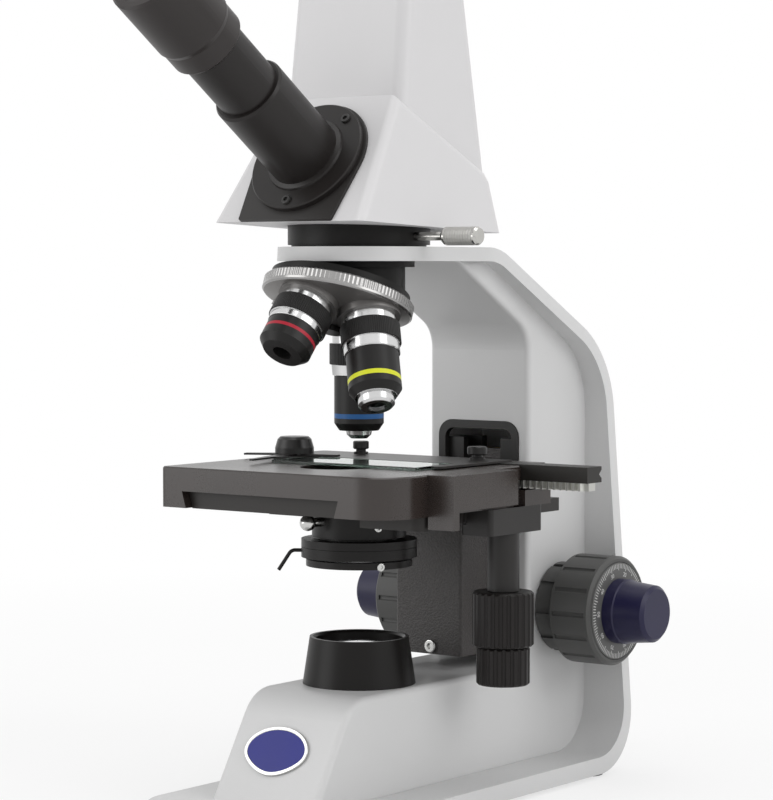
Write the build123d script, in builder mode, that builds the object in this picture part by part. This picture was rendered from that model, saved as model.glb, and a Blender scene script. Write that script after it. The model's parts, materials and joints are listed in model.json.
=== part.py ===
from build123d import *
from math import acos, asin, atan2, cos, degrees, pi, radians, sin, tan
import os

os.makedirs("parts", exist_ok=True)

# All sizes are in millimetres and all angles in degrees

# Main heights above the table
foot_height = 2
base_top = 52.5
stage_top = 145
arm_top = 237
head_top = 397

# Gaps between parts
turning_gap = 0.05
sliding_gap = 0.3
thread_gap = 0.06
knob_gap = 0.3

# Stand, seen from the side: front is negative, back is positive
back_y = 140.5
plinth_front = 92
roof_front = 34
rim_thickness = 6
plinth_thickness = 7.5
roof_bend_y = 56
roof_bend_radius = 30
back_bend_z = 189.7
back_bend_radius = 42
heel_radius = 29

# Stand, seen from the front
roof_half = 33.5
side_flare = 0.073
plinth_corner = 22
core_half = 27

# Inner body of the stand
base_front_low = 66.4
base_front_high = 39.1
base_nose_radius = 18
arm_front = 88.5
arm_shoulder = 199.8
arm_shoulder_radius = 14
arm_root_y = 32
core_edge_radius = 2.5
recess_half = 21.7
recess_back = 123
recess_top = 160
recess_corner = 7

# Hollow base
base_wall = 5
base_ceiling = 8
base_cavity_front = 36
base_cavity_back = 80
channel_half = 20
channel_low = 12
channel_high = 34
bottom_plate_half = 30
bottom_plate_front = 50
bottom_plate_back = 90
bottom_plate_thickness = 2

# Feet
foot_radius = 9
foot_x = 38
foot_front_y = 75
foot_back_y = 118

# Toothing shared by all three drives
module = 1
pressure = 25
addendum = 0.8
dedendum = 1.0
backlash = 0.15

# Focus drive
shaft_y = 112.5
shaft_z = 76
coarse_teeth = 14
coarse_pinion_half = 6
coarse_shaft_radius = 5
coarse_shaft_half = 55
fine_shaft_radius = 3
bush_radius = 8
boss_radius = 18
ring_start = 27.3
ring_end = 36.7
ring_radius = 20
coarse_knob_start = 37
coarse_knob_end = 58.6
coarse_knob_radius = 24.3
coarse_grooves = 14
dial_radius = 21.5
dial_thickness = 1.5
fine_knob_end = 79
fine_knob_root = 14.4
fine_knob_tip = 12.2

# Guide rail of the carriage
rail_front = 91
throat_half = 10
throat_depth = 4
rail_head_half = 15
rail_head_depth = 6
rail_lip = 4
rail_bottom = 55
rail_top = 152
liner_front = 87.9
liner_wall = 3.7

# Carriage
carriage_half = 17.8
carriage_front = 50
carriage_bottom = 59
carriage_top = 122
tongue_top = 147
rack_half = 6

# Stage, heights measured down from the stage top
plate_thickness = 10
skirt_depth = 17
lower_plate_thickness = 7
bracket_thickness = 5.7
stage_left = 62.5
stage_right = 57
stage_front = 56
stage_back = 37.5
stage_corner = 17
slot_half = 15
slot_reach = 31
lower_left = 50
lower_right = 31.7
lower_front = 52
lower_back = 17
dovetail = 2
ledge_back = 56
ledge_right = 60

# Stage drives under the right side
drive_x = 52
drive_y = 32
drive_teeth = 12
outer_shaft_radius = 4.95
inner_shaft_radius = 2.9
y_knob_radius = 13
y_knob_low = 69
y_knob_high = 92
x_knob_radius = 11.35
x_knob_low = 52.6
x_knob_high = 68.6
flutes = 24

# Cross bar and slide holder
bar_front = 38
bar_back = 49
bar_left = 50
bar_end = 90
bar_depth = 6.2
bar_rise = 0.5
cross_rack_start = 14
holder_thickness = 0.9
slide_length = 76
slide_width = 26
slide_thickness = 1.1
slide_right = 39
finger_x = -47
finger_y = 15

# Condenser
sleeve_radius = 20
sleeve_low = 115
condenser_radius = 17
condenser_top = 141
condenser_neck_radius = 13.8
condenser_ring_radius = 24.5
condenser_ring_low = 105.7
iris_angle = 210
filter_radius = 22.5
filter_pivot_x = 17.5
filter_pivot_y = -8.5

# Lamp
collar_height = 19.9
collar_foot_radius = 24
collar_rim_radius = 21
lamp_lens_radius = 18.5

# Nosepiece
turret_tilt = 20
apex_z = 255
seat_reach = 54.3
turret_radius = 32
port_radius = 10.16
mount_radius = 19.5

# Objectives, lengths below the seat
objective_4x_length = 26
objective_10x_length = 40
objective_40x_length = 44.4

# Head
head_ring_radius = 30
head_ring_bore = 20
head_ring_top = 249.6
inclination = 34
face_y = -32.6
face_z = 271.9
wedge_half = 39.5
wedge_top_half = 31
wedge_front_z = 247
wedge_back_z = 243
wedge_back_y = 49.5
wedge_crest = 299
tower_low = 260
tower_half_low = 32
tower_half_top = 28.5
tower_front_low = -15.5
tower_back_low = 50.5
tower_front_top = -0.5
tower_back_top = 28.5
tower_corner = 5.5
shell = 2.5

# Eyepiece, lengths from the front face of the head
panel_thickness = 1.5
flange_face = 4.1
flange_radius = 26.2
tube_radius = 15.5
tube_length = 45
sleeve_tube_radius = 13.4
sleeve_tube_end = 74
eyepiece_root_radius = 15.8
eyepiece_end_radius = 16.5
eyepiece_end = 117
eyepiece_chamfer = 1


# Position of the optical axis, so that the box of the whole object is centred
sight = radians(inclination)
eye_front = -face_y + (flange_face + eyepiece_end) * cos(sight) + (eyepiece_end_radius - eyepiece_chamfer) * sin(sight)
axis_x = (fine_knob_end - bar_end) / 2
axis_y = (eye_front - back_y) / 2

up = (0, 0, 1)
right = (1, 0, 0)
level = Plane(origin=(axis_x, axis_y, 0))
side = Plane(origin=(axis_x, axis_y, 0), x_dir=(0, 1, 0), z_dir=(1, 0, 0))
front = Plane(origin=(axis_x, axis_y, 0), x_dir=(1, 0, 0), z_dir=(0, -1, 0))
arm_under = arm_top - rim_thickness
plinth_top = foot_height + plinth_thickness


def at(x, y, z):
    return (axis_x + x, axis_y + y, z)


def half_width(z):
    return roof_half + side_flare * (arm_top - z)


def block(x0, x1, y0, y1, z0, z1, mode=Mode.ADD):
    with Locations(at((x0 + x1) / 2, (y0 + y1) / 2, (z0 + z1) / 2)):
        Box(x1 - x0, y1 - y0, z1 - z0, mode=mode)


def rod(origin, direction, radius, start, end, mode=Mode.ADD):
    with Locations(Plane(origin=origin, z_dir=direction).offset(start)):
        Cylinder(radius, end - start, align=(Align.CENTER, Align.CENTER, Align.MIN), mode=mode)


def meridian(origin, direction):
    along = Vector(*direction).normalized()
    trial = Vector(1, 0, 0) if abs(along.X) < 0.5 else Vector(0, 0, 1)
    out = (trial - along * trial.dot(along)).normalized()
    return Plane(origin=origin, x_dir=out, z_dir=out.cross(along))


def dome(radius, edge, crown):
    rise = crown - edge
    ball = (radius * radius + rise * rise) / (2 * rise)
    half = asin(radius / ball) / 2
    return ball * sin(half), crown - ball + ball * cos(half)


def gear_outline(teeth, gap_angle):
    pitch = module * teeth / 2
    base = pitch * cos(radians(pressure))
    tip = pitch + addendum
    half = (pi * module / 2 - backlash) / (2 * pitch)
    radii = [pitch - dedendum] + [base + (tip - base) * k / 4 for k in range(5)]
    turns = [acos(base / max(r, base)) for r in radii]
    involute = tan(radians(pressure)) - radians(pressure)
    flank = [(r, half + involute - tan(a) + a) for r, a in zip(radii, turns)]
    points = []
    for k in range(teeth):
        middle = radians(gap_angle + (k + 0.5) * 360 / teeth)
        points += [(r * cos(middle - a), r * sin(middle - a)) for r, a in flank]
        points += [(r * cos(middle + a), r * sin(middle + a)) for r, a in reversed(flank)]
    return points


def rack_outline(start, end, tooth_at, back):
    step = pi * module
    lean = tan(radians(pressure))
    half = (step / 2 - backlash) / 2
    points = [(start, -back), (end, -back), (end, -dedendum)]
    k = int((end - tooth_at) / step - 0.5)
    while tooth_at + (k - 0.5) * step > start:
        middle = tooth_at + k * step
        points += [(middle + half + dedendum * lean, -dedendum), (middle + half - addendum * lean, addendum)]
        points += [(middle - half + addendum * lean, addendum), (middle - half - dedendum * lean, -dedendum)]
        k -= 1
    return points + [(start, -dedendum)]


# Outer rim of the stand: plinth, back and roof in one ribbon
roof_slope = atan2(arm_top - back_bend_z, back_y - roof_bend_y)
inner_bend_y = roof_bend_y - rim_thickness * tan(roof_slope / 2)
inner_back_z = back_bend_z - rim_thickness * tan((pi / 2 - roof_slope) / 2)
inner_back_y = back_y - rim_thickness

with BuildPart() as spine:
    with BuildSketch(side):
        Polygon(
            (-roof_front, arm_top),
            (-plinth_front, arm_top),
            (-plinth_front, foot_height),
            (back_y, foot_height),
            (back_y, back_bend_z),
            (roof_bend_y, arm_top),
            align=None,
        )
        fillet(vertices().sort_by_distance((roof_bend_y, arm_top, 0))[0], roof_bend_radius)
        fillet(vertices().sort_by_distance((back_y, back_bend_z, 0))[0], back_bend_radius)
        fillet(vertices().sort_by_distance((back_y, foot_height, 0))[0], heel_radius)
    extrude(amount=half_width(0) + 5, both=True)
    with BuildSketch(side):
        Polygon(
            (-plinth_front - 5, arm_under),
            (-plinth_front - 5, plinth_top),
            (inner_back_y, plinth_top),
            (inner_back_y, inner_back_z),
            (inner_bend_y, arm_under),
            align=None,
        )
        fillet(vertices().sort_by_distance((inner_bend_y, arm_under, 0))[0], roof_bend_radius - rim_thickness)
        fillet(vertices().sort_by_distance((inner_back_y, inner_back_z, 0))[0], back_bend_radius - rim_thickness)
        fillet(vertices().sort_by_distance((inner_back_y, plinth_top, 0))[0], heel_radius - rim_thickness)
    extrude(amount=half_width(0) + 6, both=True, mode=Mode.SUBTRACT)
    block(-60, 60, -plinth_front - 5, -roof_front, arm_under - 5, arm_top + 5, mode=Mode.SUBTRACT)
    with BuildSketch(front.offset(-back_y - 5)):
        Polygon(
            (-half_width(0), 0),
            (half_width(0), 0),
            (half_width(arm_top + 5), arm_top + 5),
            (-half_width(arm_top + 5), arm_top + 5),
            align=None,
        )
    extrude(amount=back_y + plinth_front + 10, mode=Mode.INTERSECT)
    nose = edges().filter_by(lambda e: e.center().Z > arm_under and abs(e.center().Y - axis_y + roof_front) < 0.1)
    fillet(nose.filter_by(lambda e: abs(e.center().X - axis_x) > core_half), roof_half * 0.97)
    toe = edges().filter_by(lambda e: e.center().Z < plinth_top and abs(e.center().Y - axis_y + plinth_front) < 0.1)
    fillet(toe.filter_by(lambda e: abs(e.center().X - axis_x) > core_half), plinth_corner)

# Inner body of the stand: sloping base front and upright arm
with BuildPart() as core:
    with BuildSketch(side):
        Polygon(
            (-base_front_low, plinth_top - 1.5),
            (base_cavity_back + 20, plinth_top - 1.5),
            (back_y - rim_thickness / 2, plinth_top - 1.5),
            (back_y - rim_thickness / 2, inner_back_z),
            (inner_bend_y + 4, arm_under + 1),
            (arm_root_y, arm_under + 1),
            (arm_front, arm_shoulder),
            (arm_front, base_top),
            (-base_front_high, base_top),
            align=None,
        )
        fillet(vertices().sort_by_distance((arm_front, arm_shoulder, 0))[0], arm_shoulder_radius)
        fillet(vertices().sort_by_distance((-base_front_high, base_top, 0))[0], base_nose_radius)
        fillet(vertices().sort_by_distance((back_y, plinth_top, 0))[0], heel_radius - rim_thickness)
        fillet(vertices().sort_by_distance((back_y, inner_back_z, 0))[0], back_bend_radius - rim_thickness)
    extrude(amount=core_half, both=True)
    fillet(faces().filter_by(Axis.X).edges(), core_edge_radius)

# Stand as one casting
cavity_top = base_top - base_ceiling
cavity_half = core_half - base_wall
channel_x = 9.5
inlet_z = (channel_low + channel_high) / 2
switch_half = 6
rocker_half = 8
dimmer_y = -10
dimmer_z = 28
dimmer_stem = 3
lamp_well = 15
roof_hole = 12
inlet_radius = 6.5

with BuildPart() as stand:
    add(spine.part)
    for start, end in ((ring_end + 0.1, half_width(0) + 5), (-half_width(0) - 5, -ring_end - 0.1)):
        rod(at(0, shaft_y, shaft_z), right, coarse_knob_radius + 0.6, start, end, mode=Mode.SUBTRACT)
    add(core.part)
    rod(at(0, shaft_y, shaft_z), right, boss_radius, -ring_end, -core_half + 1)
    with BuildSketch(front.offset(-recess_back)):
        with Locations((0, (base_top + recess_top) / 2)):
            Rectangle(2 * recess_half, recess_top - base_top)
        fillet(vertices().group_by(Axis.Y)[-1], recess_corner)
    extrude(amount=recess_back - arm_front + 5, mode=Mode.SUBTRACT)
    rod(at(0, shaft_y, shaft_z), right, bush_radius, -core_half, core_half + 1, mode=Mode.SUBTRACT)
    rod(at(0, shaft_y, shaft_z), right, coarse_shaft_radius + knob_gap, -ring_end - 1, 0, mode=Mode.SUBTRACT)
    block(-cavity_half, cavity_half, -base_cavity_front, base_cavity_back, 0, cavity_top, mode=Mode.SUBTRACT)
    block(
        -bottom_plate_half,
        bottom_plate_half,
        -bottom_plate_front,
        bottom_plate_back,
        0,
        foot_height + bottom_plate_thickness,
        mode=Mode.SUBTRACT,
    )
    block(
        -channel_half,
        channel_half,
        base_cavity_back - 1,
        inner_back_y,
        channel_low,
        channel_high,
        mode=Mode.SUBTRACT,
    )
    rod(at(0, 0, 0), up, lamp_well, cavity_top - 1, base_top + 1, mode=Mode.SUBTRACT)
    rod(at(0, 0, 0), up, roof_hole, arm_under - 1, arm_top + 1, mode=Mode.SUBTRACT)
    rod(at(channel_x, back_y, inlet_z), (0, -1, 0), inlet_radius, -1, rim_thickness + 1, mode=Mode.SUBTRACT)
    rod(at(channel_x, back_y, inlet_z), (0, -1, 0), inlet_radius + 2, -1, 2, mode=Mode.SUBTRACT)
    block(
        -channel_x - switch_half,
        -channel_x + switch_half,
        inner_back_y - 1,
        back_y + 1,
        inlet_z - rocker_half,
        inlet_z + rocker_half,
        mode=Mode.SUBTRACT,
    )
    rod(at(-core_half, dimmer_y, dimmer_z), right, dimmer_stem + 0.2, -1, base_wall + 1, mode=Mode.SUBTRACT)
stand.part.label = "stand"
export_step(stand.part, "parts/stand.step")

# Bottom plate with cooling slots
plate_low = foot_height
plate_high = foot_height + bottom_plate_thickness
plate_middle = (bottom_plate_back - bottom_plate_front) / 2
with BuildPart() as bottom_plate:
    with BuildSketch(level.offset(plate_low)):
        with Locations((0, plate_middle)):
            Rectangle(2 * bottom_plate_half, bottom_plate_back + bottom_plate_front)
        with Locations((0, 0)):
            with GridLocations(9, 1, 5, 1):
                SlotOverall(26, 3, rotation=90, mode=Mode.SUBTRACT)
        with Locations((0, plate_middle)):
            with GridLocations(2 * bottom_plate_half - 8, bottom_plate_back + bottom_plate_front - 8, 2, 2):
                Circle(1.7, mode=Mode.SUBTRACT)
    extrude(amount=bottom_plate_thickness)
bottom_plate.part.label = "bottom_plate"
export_step(bottom_plate.part, "parts/bottom_plate.step")

# Rubber feet
with BuildPart() as feet:
    for x, y in ((foot_x, -foot_front_y), (-foot_x, -foot_front_y), (foot_x, foot_back_y), (-foot_x, foot_back_y)):
        with BuildSketch(meridian(at(x, y, 0), up)):
            Polygon((0, 0), (foot_radius - 0.8, 0), (foot_radius, foot_height), (0, foot_height), align=None)
        revolve(axis=Axis(at(x, y, 0), up))
feet.part.label = "feet"
export_step(feet.part, "parts/feet.step")

# Lamp collar with the ledge of its lens
collar_top = base_top + collar_height
collar_ledge = collar_top - 6.4
with BuildPart() as lamp_collar:
    with BuildSketch(meridian(at(0, 0, 0), up)):
        Polygon(
            (lamp_well + 1, base_top),
            (collar_foot_radius, base_top),
            (collar_rim_radius, collar_top),
            (collar_rim_radius - 1.4, collar_top),
            (lamp_lens_radius + turning_gap, collar_top - 1),
            (lamp_lens_radius + turning_gap, collar_ledge),
            (lamp_well + 1, collar_ledge),
            align=None,
        )
    revolve(axis=Axis(at(0, 0, 0), up))
lamp_collar.part.label = "lamp_collar"
export_step(lamp_collar.part, "parts/lamp_collar.step")

# Domed collector lens
lens_edge = collar_ledge + 1.5
lens_crown = collar_top - 2.2
with BuildPart() as collector_lens:
    with BuildSketch(meridian(at(0, 0, 0), up)):
        with BuildLine():
            Polyline((0, lens_crown), (0, collar_ledge), (lamp_lens_radius, collar_ledge), (lamp_lens_radius, lens_edge))
            ThreePointArc((lamp_lens_radius, lens_edge), dome(lamp_lens_radius, lens_edge, lens_crown), (0, lens_crown))
        make_face()
    revolve(axis=Axis(at(0, 0, 0), up))
collector_lens.part.label = "collector_lens"
export_step(collector_lens.part, "parts/collector_lens.step")

# Lamp board under the well, with its diode
with BuildPart() as led_board:
    block(-18, 18, -18, 18, cavity_top - 1.6, cavity_top)
    block(-3, 3, -3, 3, cavity_top - 0.5, cavity_top + 0.8)
    with Locations(at(0, 0, cavity_top + 0.8)):
        Sphere(2.4, arc_size1=0)
led_board.part.label = "led_board"
export_step(led_board.part, "parts/led_board.step")

# Supply board on four posts
with BuildPart() as power_board:
    block(-17, 17, 10, 66, plate_high + 4, plate_high + 5.6)
    for x, y in ((-13, 14), (13, 14), (-13, 62), (13, 62)):
        rod(at(x, y, 0), up, 2, plate_high, plate_high + 4.5)
    block(-11, 1, 22, 36, plate_high + 5, plate_high + 17)
    rod(at(8, 30, 0), up, 4, plate_high + 5, plate_high + 18)
    block(-6, 8, 44, 54, plate_high + 5, plate_high + 12)
power_board.part.label = "power_board"
export_step(power_board.part, "parts/power_board.step")

# Supply socket in the back wall
with BuildPart() as power_inlet:
    with BuildSketch(meridian(at(channel_x, back_y, inlet_z), (0, -1, 0))):
        Polygon(
            (3.2, 0.5),
            (inlet_radius + 1.8, 0.5),
            (inlet_radius + 1.8, 2),
            (inlet_radius - 0.1, 2),
            (inlet_radius - 0.1, rim_thickness + 8),
            (0, rim_thickness + 8),
            (0, rim_thickness + 6),
            (3.2, rim_thickness + 6),
            align=None,
        )
    revolve(axis=Axis(at(channel_x, back_y, inlet_z), (0, -1, 0)))
    rod(at(channel_x, back_y, inlet_z), (0, -1, 0), 1, 2, rim_thickness + 7)
power_inlet.part.label = "power_inlet"
export_step(power_inlet.part, "parts/power_inlet.step")

# Switch body inside the back wall and its rocker
rocker_y = back_y - 4.5
with BuildPart() as switch_body:
    block(
        -channel_x - switch_half,
        -channel_x + switch_half,
        inner_back_y - 10,
        rocker_y - 2.6,
        inlet_z - rocker_half,
        inlet_z + rocker_half,
    )
    block(-channel_x - 4, -channel_x + 4, rocker_y - 3, rocker_y - 1.8, inlet_z - 1.5, inlet_z + 1.5)
switch_body.part.label = "switch_body"
export_step(switch_body.part, "parts/switch_body.step")

rocker_reach = rocker_half - 0.5
with BuildPart() as power_switch:
    with BuildSketch(side.offset(-channel_x)):
        Polygon(
            (rocker_y - 1.5, inlet_z - rocker_reach),
            (rocker_y + 3, inlet_z - rocker_reach),
            (rocker_y + 2, inlet_z),
            (rocker_y + 3, inlet_z + rocker_reach),
            (rocker_y - 1.5, inlet_z + rocker_reach),
            align=None,
        )
    extrude(amount=switch_half - 0.4, both=True)
power_switch.part.label = "power_switch"
export_step(power_switch.part, "parts/power_switch.step")

# Brightness knob on the left side
with BuildPart() as dimmer_knob:
    with BuildSketch(meridian(at(-core_half, dimmer_y, dimmer_z), (-1, 0, 0))):
        Polygon(
            (0, -base_wall),
            (dimmer_stem, -base_wall),
            (dimmer_stem, knob_gap),
            (9, knob_gap),
            (9, 2.5),
            (8, 3),
            (7.6, 10),
            (6.8, 10.8),
            (0, 10.8),
            align=None,
        )
    revolve(axis=Axis(at(-core_half, dimmer_y, dimmer_z), (-1, 0, 0)))
dimmer_knob.part.label = "dimmer_knob"
export_step(dimmer_knob.part, "parts/dimmer_knob.step")

# Black liner around the slot of the arm
liner_half = recess_half - 0.1
with BuildPart() as slot_liner:
    with BuildSketch(front.offset(-rail_front)):
        with Locations((0, (base_top + recess_top) / 2)):
            Rectangle(2 * liner_half, recess_top - base_top - 0.2)
        fillet(vertices().group_by(Axis.Y)[-1], recess_corner - 0.1)
    extrude(amount=rail_front - liner_front)
    with BuildSketch(front.offset(-rail_front - 1)):
        with Locations((0, (base_top + recess_top - liner_wall) / 2 - 1)):
            Rectangle(2 * (liner_half - liner_wall) + 0.2, recess_top - base_top - liner_wall + 2)
        fillet(vertices().group_by(Axis.Y)[-1], recess_corner - liner_wall + 1)
    extrude(amount=rail_front - liner_front + 2, mode=Mode.SUBTRACT)
slot_liner.part.label = "slot_liner"
export_step(slot_liner.part, "parts/slot_liner.step")

# Fixed guide rail with a T-shaped groove
throat_back = rail_front + throat_depth
head_back = throat_back + rail_head_depth
rail_back = head_back + rail_lip
with BuildPart() as guide_rail:
    with BuildSketch(level.offset(rail_bottom)):
        Polygon(
            (-recess_half, rail_front),
            (-throat_half, rail_front),
            (-throat_half, throat_back),
            (-rail_head_half, throat_back),
            (-rail_head_half, head_back),
            (-rack_half - 1, head_back),
            (-rack_half - 1, rail_back),
            (-recess_half, rail_back),
            align=None,
        )
        mirror(about=Plane.YZ)
    extrude(amount=rail_top - rail_bottom)
    rod(at(0, shaft_y, shaft_z), right, boss_radius - 6, -coarse_pinion_half - 1, coarse_pinion_half + 1, mode=Mode.SUBTRACT)
guide_rail.part.label = "guide_rail"
export_step(guide_rail.part, "parts/guide_rail.step")

# Bushes of the coarse shaft, the right one also carries the tension ring
shaft_origin = at(0, shaft_y, shaft_z)
with BuildPart() as shaft_bushes:
    rod(shaft_origin, right, bush_radius, recess_half, ring_end - 0.2)
    rod(shaft_origin, right, bush_radius, -core_half, -recess_half)
    rod(shaft_origin, right, coarse_shaft_radius + turning_gap, -ring_end, ring_end, mode=Mode.SUBTRACT)
shaft_bushes.part.label = "shaft_bushes"
export_step(shaft_bushes.part, "parts/shaft_bushes.step")

# Slotted ring that sets the drag of the coarse knobs
with BuildPart() as tension_ring:
    with BuildSketch(meridian(shaft_origin, right)):
        Polygon(
            (bush_radius + turning_gap, ring_start),
            (ring_radius - 1, ring_start),
            (ring_radius, ring_start + 1),
            (ring_radius, ring_end - 1),
            (ring_radius - 1, ring_end),
            (bush_radius + turning_gap, ring_end),
            align=None,
        )
    revolve(axis=Axis(shaft_origin, right))
    with BuildSketch(side.offset(ring_start - 1)):
        with Locations((shaft_y, shaft_z)):
            with PolarLocations(ring_radius, 10):
                Rectangle(2.4, 2.6)
    extrude(amount=ring_end - ring_start + 2, mode=Mode.SUBTRACT)
tension_ring.part.label = "tension_ring"
export_step(tension_ring.part, "parts/tension_ring.step")

# Coarse shaft: hollow, with its pinion
with BuildPart() as coarse_shaft:
    rod(shaft_origin, right, coarse_shaft_radius, -coarse_shaft_half, coarse_shaft_half)
    with BuildSketch(side.offset(-coarse_pinion_half)):
        with Locations((shaft_y, shaft_z)):
            Polygon(*gear_outline(coarse_teeth, 180), align=None)
    extrude(amount=2 * coarse_pinion_half)
    rod(
        shaft_origin,
        right,
        fine_shaft_radius + turning_gap,
        -coarse_shaft_half - 1,
        coarse_shaft_half + 1,
        mode=Mode.SUBTRACT,
    )
coarse_shaft.part.label = "coarse_shaft"
export_step(coarse_shaft.part, "parts/coarse_shaft.step")

# Coarse knobs with long grooves and a dished end
dial_floor = coarse_knob_end - dial_thickness + 0.5
coarse_profile = (
    (coarse_shaft_radius, coarse_knob_start),
    (coarse_knob_radius - 2, coarse_knob_start),
    (coarse_knob_radius, coarse_knob_start + 1.5),
    (coarse_knob_radius, coarse_knob_end - 1.2),
    (coarse_knob_radius - 1.2, coarse_knob_end),
    (dial_radius + knob_gap, coarse_knob_end),
    (dial_radius + knob_gap, dial_floor - knob_gap),
    (fine_shaft_radius + 0.2, dial_floor - knob_gap),
    (fine_shaft_radius + 0.2, coarse_shaft_half),
    (coarse_shaft_radius, coarse_shaft_half),
)
with BuildPart() as coarse_knob_right:
    with BuildSketch(meridian(shaft_origin, right)):
        Polygon(*coarse_profile, align=None)
    revolve(axis=Axis(shaft_origin, right))
    with BuildSketch(side.offset(coarse_knob_start + 2.5)):
        with Locations((shaft_y, shaft_z)):
            with PolarLocations(coarse_knob_radius + 0.3, coarse_grooves):
                Circle(1.2)
    extrude(amount=coarse_knob_end - coarse_knob_start - 5, mode=Mode.SUBTRACT)
coarse_knob_right.part.label = "coarse_knob_right"
export_step(coarse_knob_right.part, "parts/coarse_knob_right.step")

with BuildPart() as coarse_knob_left:
    with BuildSketch(meridian(shaft_origin, (-1, 0, 0))):
        Polygon(*coarse_profile, align=None)
    revolve(axis=Axis(shaft_origin, (-1, 0, 0)))
    with BuildSketch(side.offset(-coarse_knob_start - 2.5)):
        with Locations((shaft_y, shaft_z)):
            with PolarLocations(coarse_knob_radius + 0.3, coarse_grooves):
                Circle(1.2)
    extrude(amount=coarse_knob_start + 5 - coarse_knob_end, mode=Mode.SUBTRACT)
coarse_knob_left.part.label = "coarse_knob_left"
export_step(coarse_knob_left.part, "parts/coarse_knob_left.step")

# Fine shaft, its dial and its two knobs
fine_shaft_half = fine_knob_end - 3
with BuildPart() as fine_shaft:
    rod(shaft_origin, right, fine_shaft_radius, -fine_shaft_half, fine_shaft_half)
fine_shaft.part.label = "fine_shaft"
export_step(fine_shaft.part, "parts/fine_shaft.step")

dial_face = dial_floor + dial_thickness
with BuildPart() as fine_dial:
    with BuildSketch(meridian(shaft_origin, right)):
        Polygon(
            (fine_shaft_radius, dial_floor),
            (dial_radius, dial_floor),
            (dial_radius, dial_face - 0.4),
            (dial_radius - 0.4, dial_face),
            (fine_shaft_radius, dial_face),
            align=None,
        )
    revolve(axis=Axis(shaft_origin, right))
fine_dial.part.label = "fine_dial"
export_step(fine_dial.part, "parts/fine_dial.step")

fine_profile = (
    (fine_knob_root, 0),
    (fine_knob_root, 5),
    (fine_knob_root - 0.5, 5.6),
    (fine_knob_tip + 0.4, fine_knob_end - dial_face - 1.5),
    (fine_knob_tip - 1.2, fine_knob_end - dial_face),
    (0, fine_knob_end - dial_face),
    (0, fine_shaft_half - dial_face),
    (fine_shaft_radius, fine_shaft_half - dial_face),
    (fine_shaft_radius, 0),
)
with BuildPart() as fine_knob_right:
    with BuildSketch(meridian(at(dial_face, shaft_y, shaft_z), right)):
        Polygon(*fine_profile, align=None)
    revolve(axis=Axis(shaft_origin, right))
fine_knob_right.part.label = "fine_knob_right"
export_step(fine_knob_right.part, "parts/fine_knob_right.step")

with BuildPart() as fine_knob_left:
    with BuildSketch(meridian(at(-dial_face, shaft_y, shaft_z), (-1, 0, 0))):
        Polygon(*fine_profile, align=None)
    revolve(axis=Axis(shaft_origin, right))
fine_knob_left.part.label = "fine_knob_left"
export_step(fine_knob_left.part, "parts/fine_knob_left.step")

# Carriage block with the tongue that runs in the rail
rack_pitch_y = shaft_y - module * coarse_teeth / 2
tongue_back = head_back - sliding_gap
with BuildPart() as carriage:
    block(-carriage_half, carriage_half, carriage_front, liner_front - sliding_gap, carriage_bottom, carriage_top)
    fillet(edges().filter_by(Axis.Z).group_by(Axis.Y)[0], 1.5)
    block(
        -throat_half + sliding_gap,
        throat_half - sliding_gap,
        liner_front - 1,
        throat_back + 1,
        carriage_bottom + 3,
        carriage_top,
    )
    block(
        -rail_head_half + sliding_gap,
        rail_head_half - sliding_gap,
        throat_back + sliding_gap,
        tongue_back,
        carriage_bottom + 3,
        tongue_top,
    )
carriage.part.label = "carriage"
export_step(carriage.part, "parts/carriage.step")

# Rack of the focus drive
with BuildPart() as rack:
    with BuildSketch(side.offset(-rack_half)):
        outline = rack_outline(carriage_bottom + 3, tongue_top, shaft_z, rack_pitch_y - tongue_back)
        Polygon(*[(rack_pitch_y + v, u) for u, v in outline], align=None)
    extrude(amount=2 * rack_half)
rack.part.label = "rack"
export_step(rack.part, "parts/rack.step")

# Stage bracket, its right edge is the rack of the Y drive
bracket_low = carriage_top
bracket_high = bracket_low + bracket_thickness
y_pitch_x = drive_x - module * drive_teeth / 2
bracket_edge = y_pitch_x - dedendum
with BuildPart() as stage_bracket:
    with BuildSketch(level.offset(bracket_low)):
        Polygon(
            (-45, 88.5 - 3),
            (-45, -5),
            (24, -5),
            (24, -31),
            (56, -31),
            (56, -7),
            (bracket_edge, -7),
            (bracket_edge, 85.5),
            align=None,
        )
        fillet(vertices().sort_by_distance((56, -31, 0))[0], 6)
        outline = rack_outline(-6, 60, drive_y, 3)
        Polygon(*[(y_pitch_x + v, u) for u, v in outline], align=None)
        Circle(sleeve_radius + sliding_gap, mode=Mode.SUBTRACT)
        with Locations((0, -10)):
            Rectangle(2 * (sleeve_radius + sliding_gap), 20, mode=Mode.SUBTRACT)
    extrude(amount=bracket_thickness)
stage_bracket.part.label = "stage_bracket"
export_step(stage_bracket.part, "parts/stage_bracket.step")

# Lower stage plate with dovetail edges
lower_low = bracket_high
lower_high = lower_low + lower_plate_thickness
with BuildPart() as lower_plate:
    with BuildSketch(front.offset(-lower_back)):
        Polygon(
            (-lower_left + dovetail, lower_low),
            (lower_right - dovetail, lower_low),
            (lower_right, lower_high),
            (-lower_left, lower_high),
            align=None,
        )
    extrude(amount=lower_back + lower_front)
    rod(at(0, 0, 0), up, condenser_radius + 0.5, lower_low - 1, lower_high + 1, mode=Mode.SUBTRACT)
lower_plate.part.label = "lower_plate"
export_step(lower_plate.part, "parts/lower_plate.step")

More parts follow.
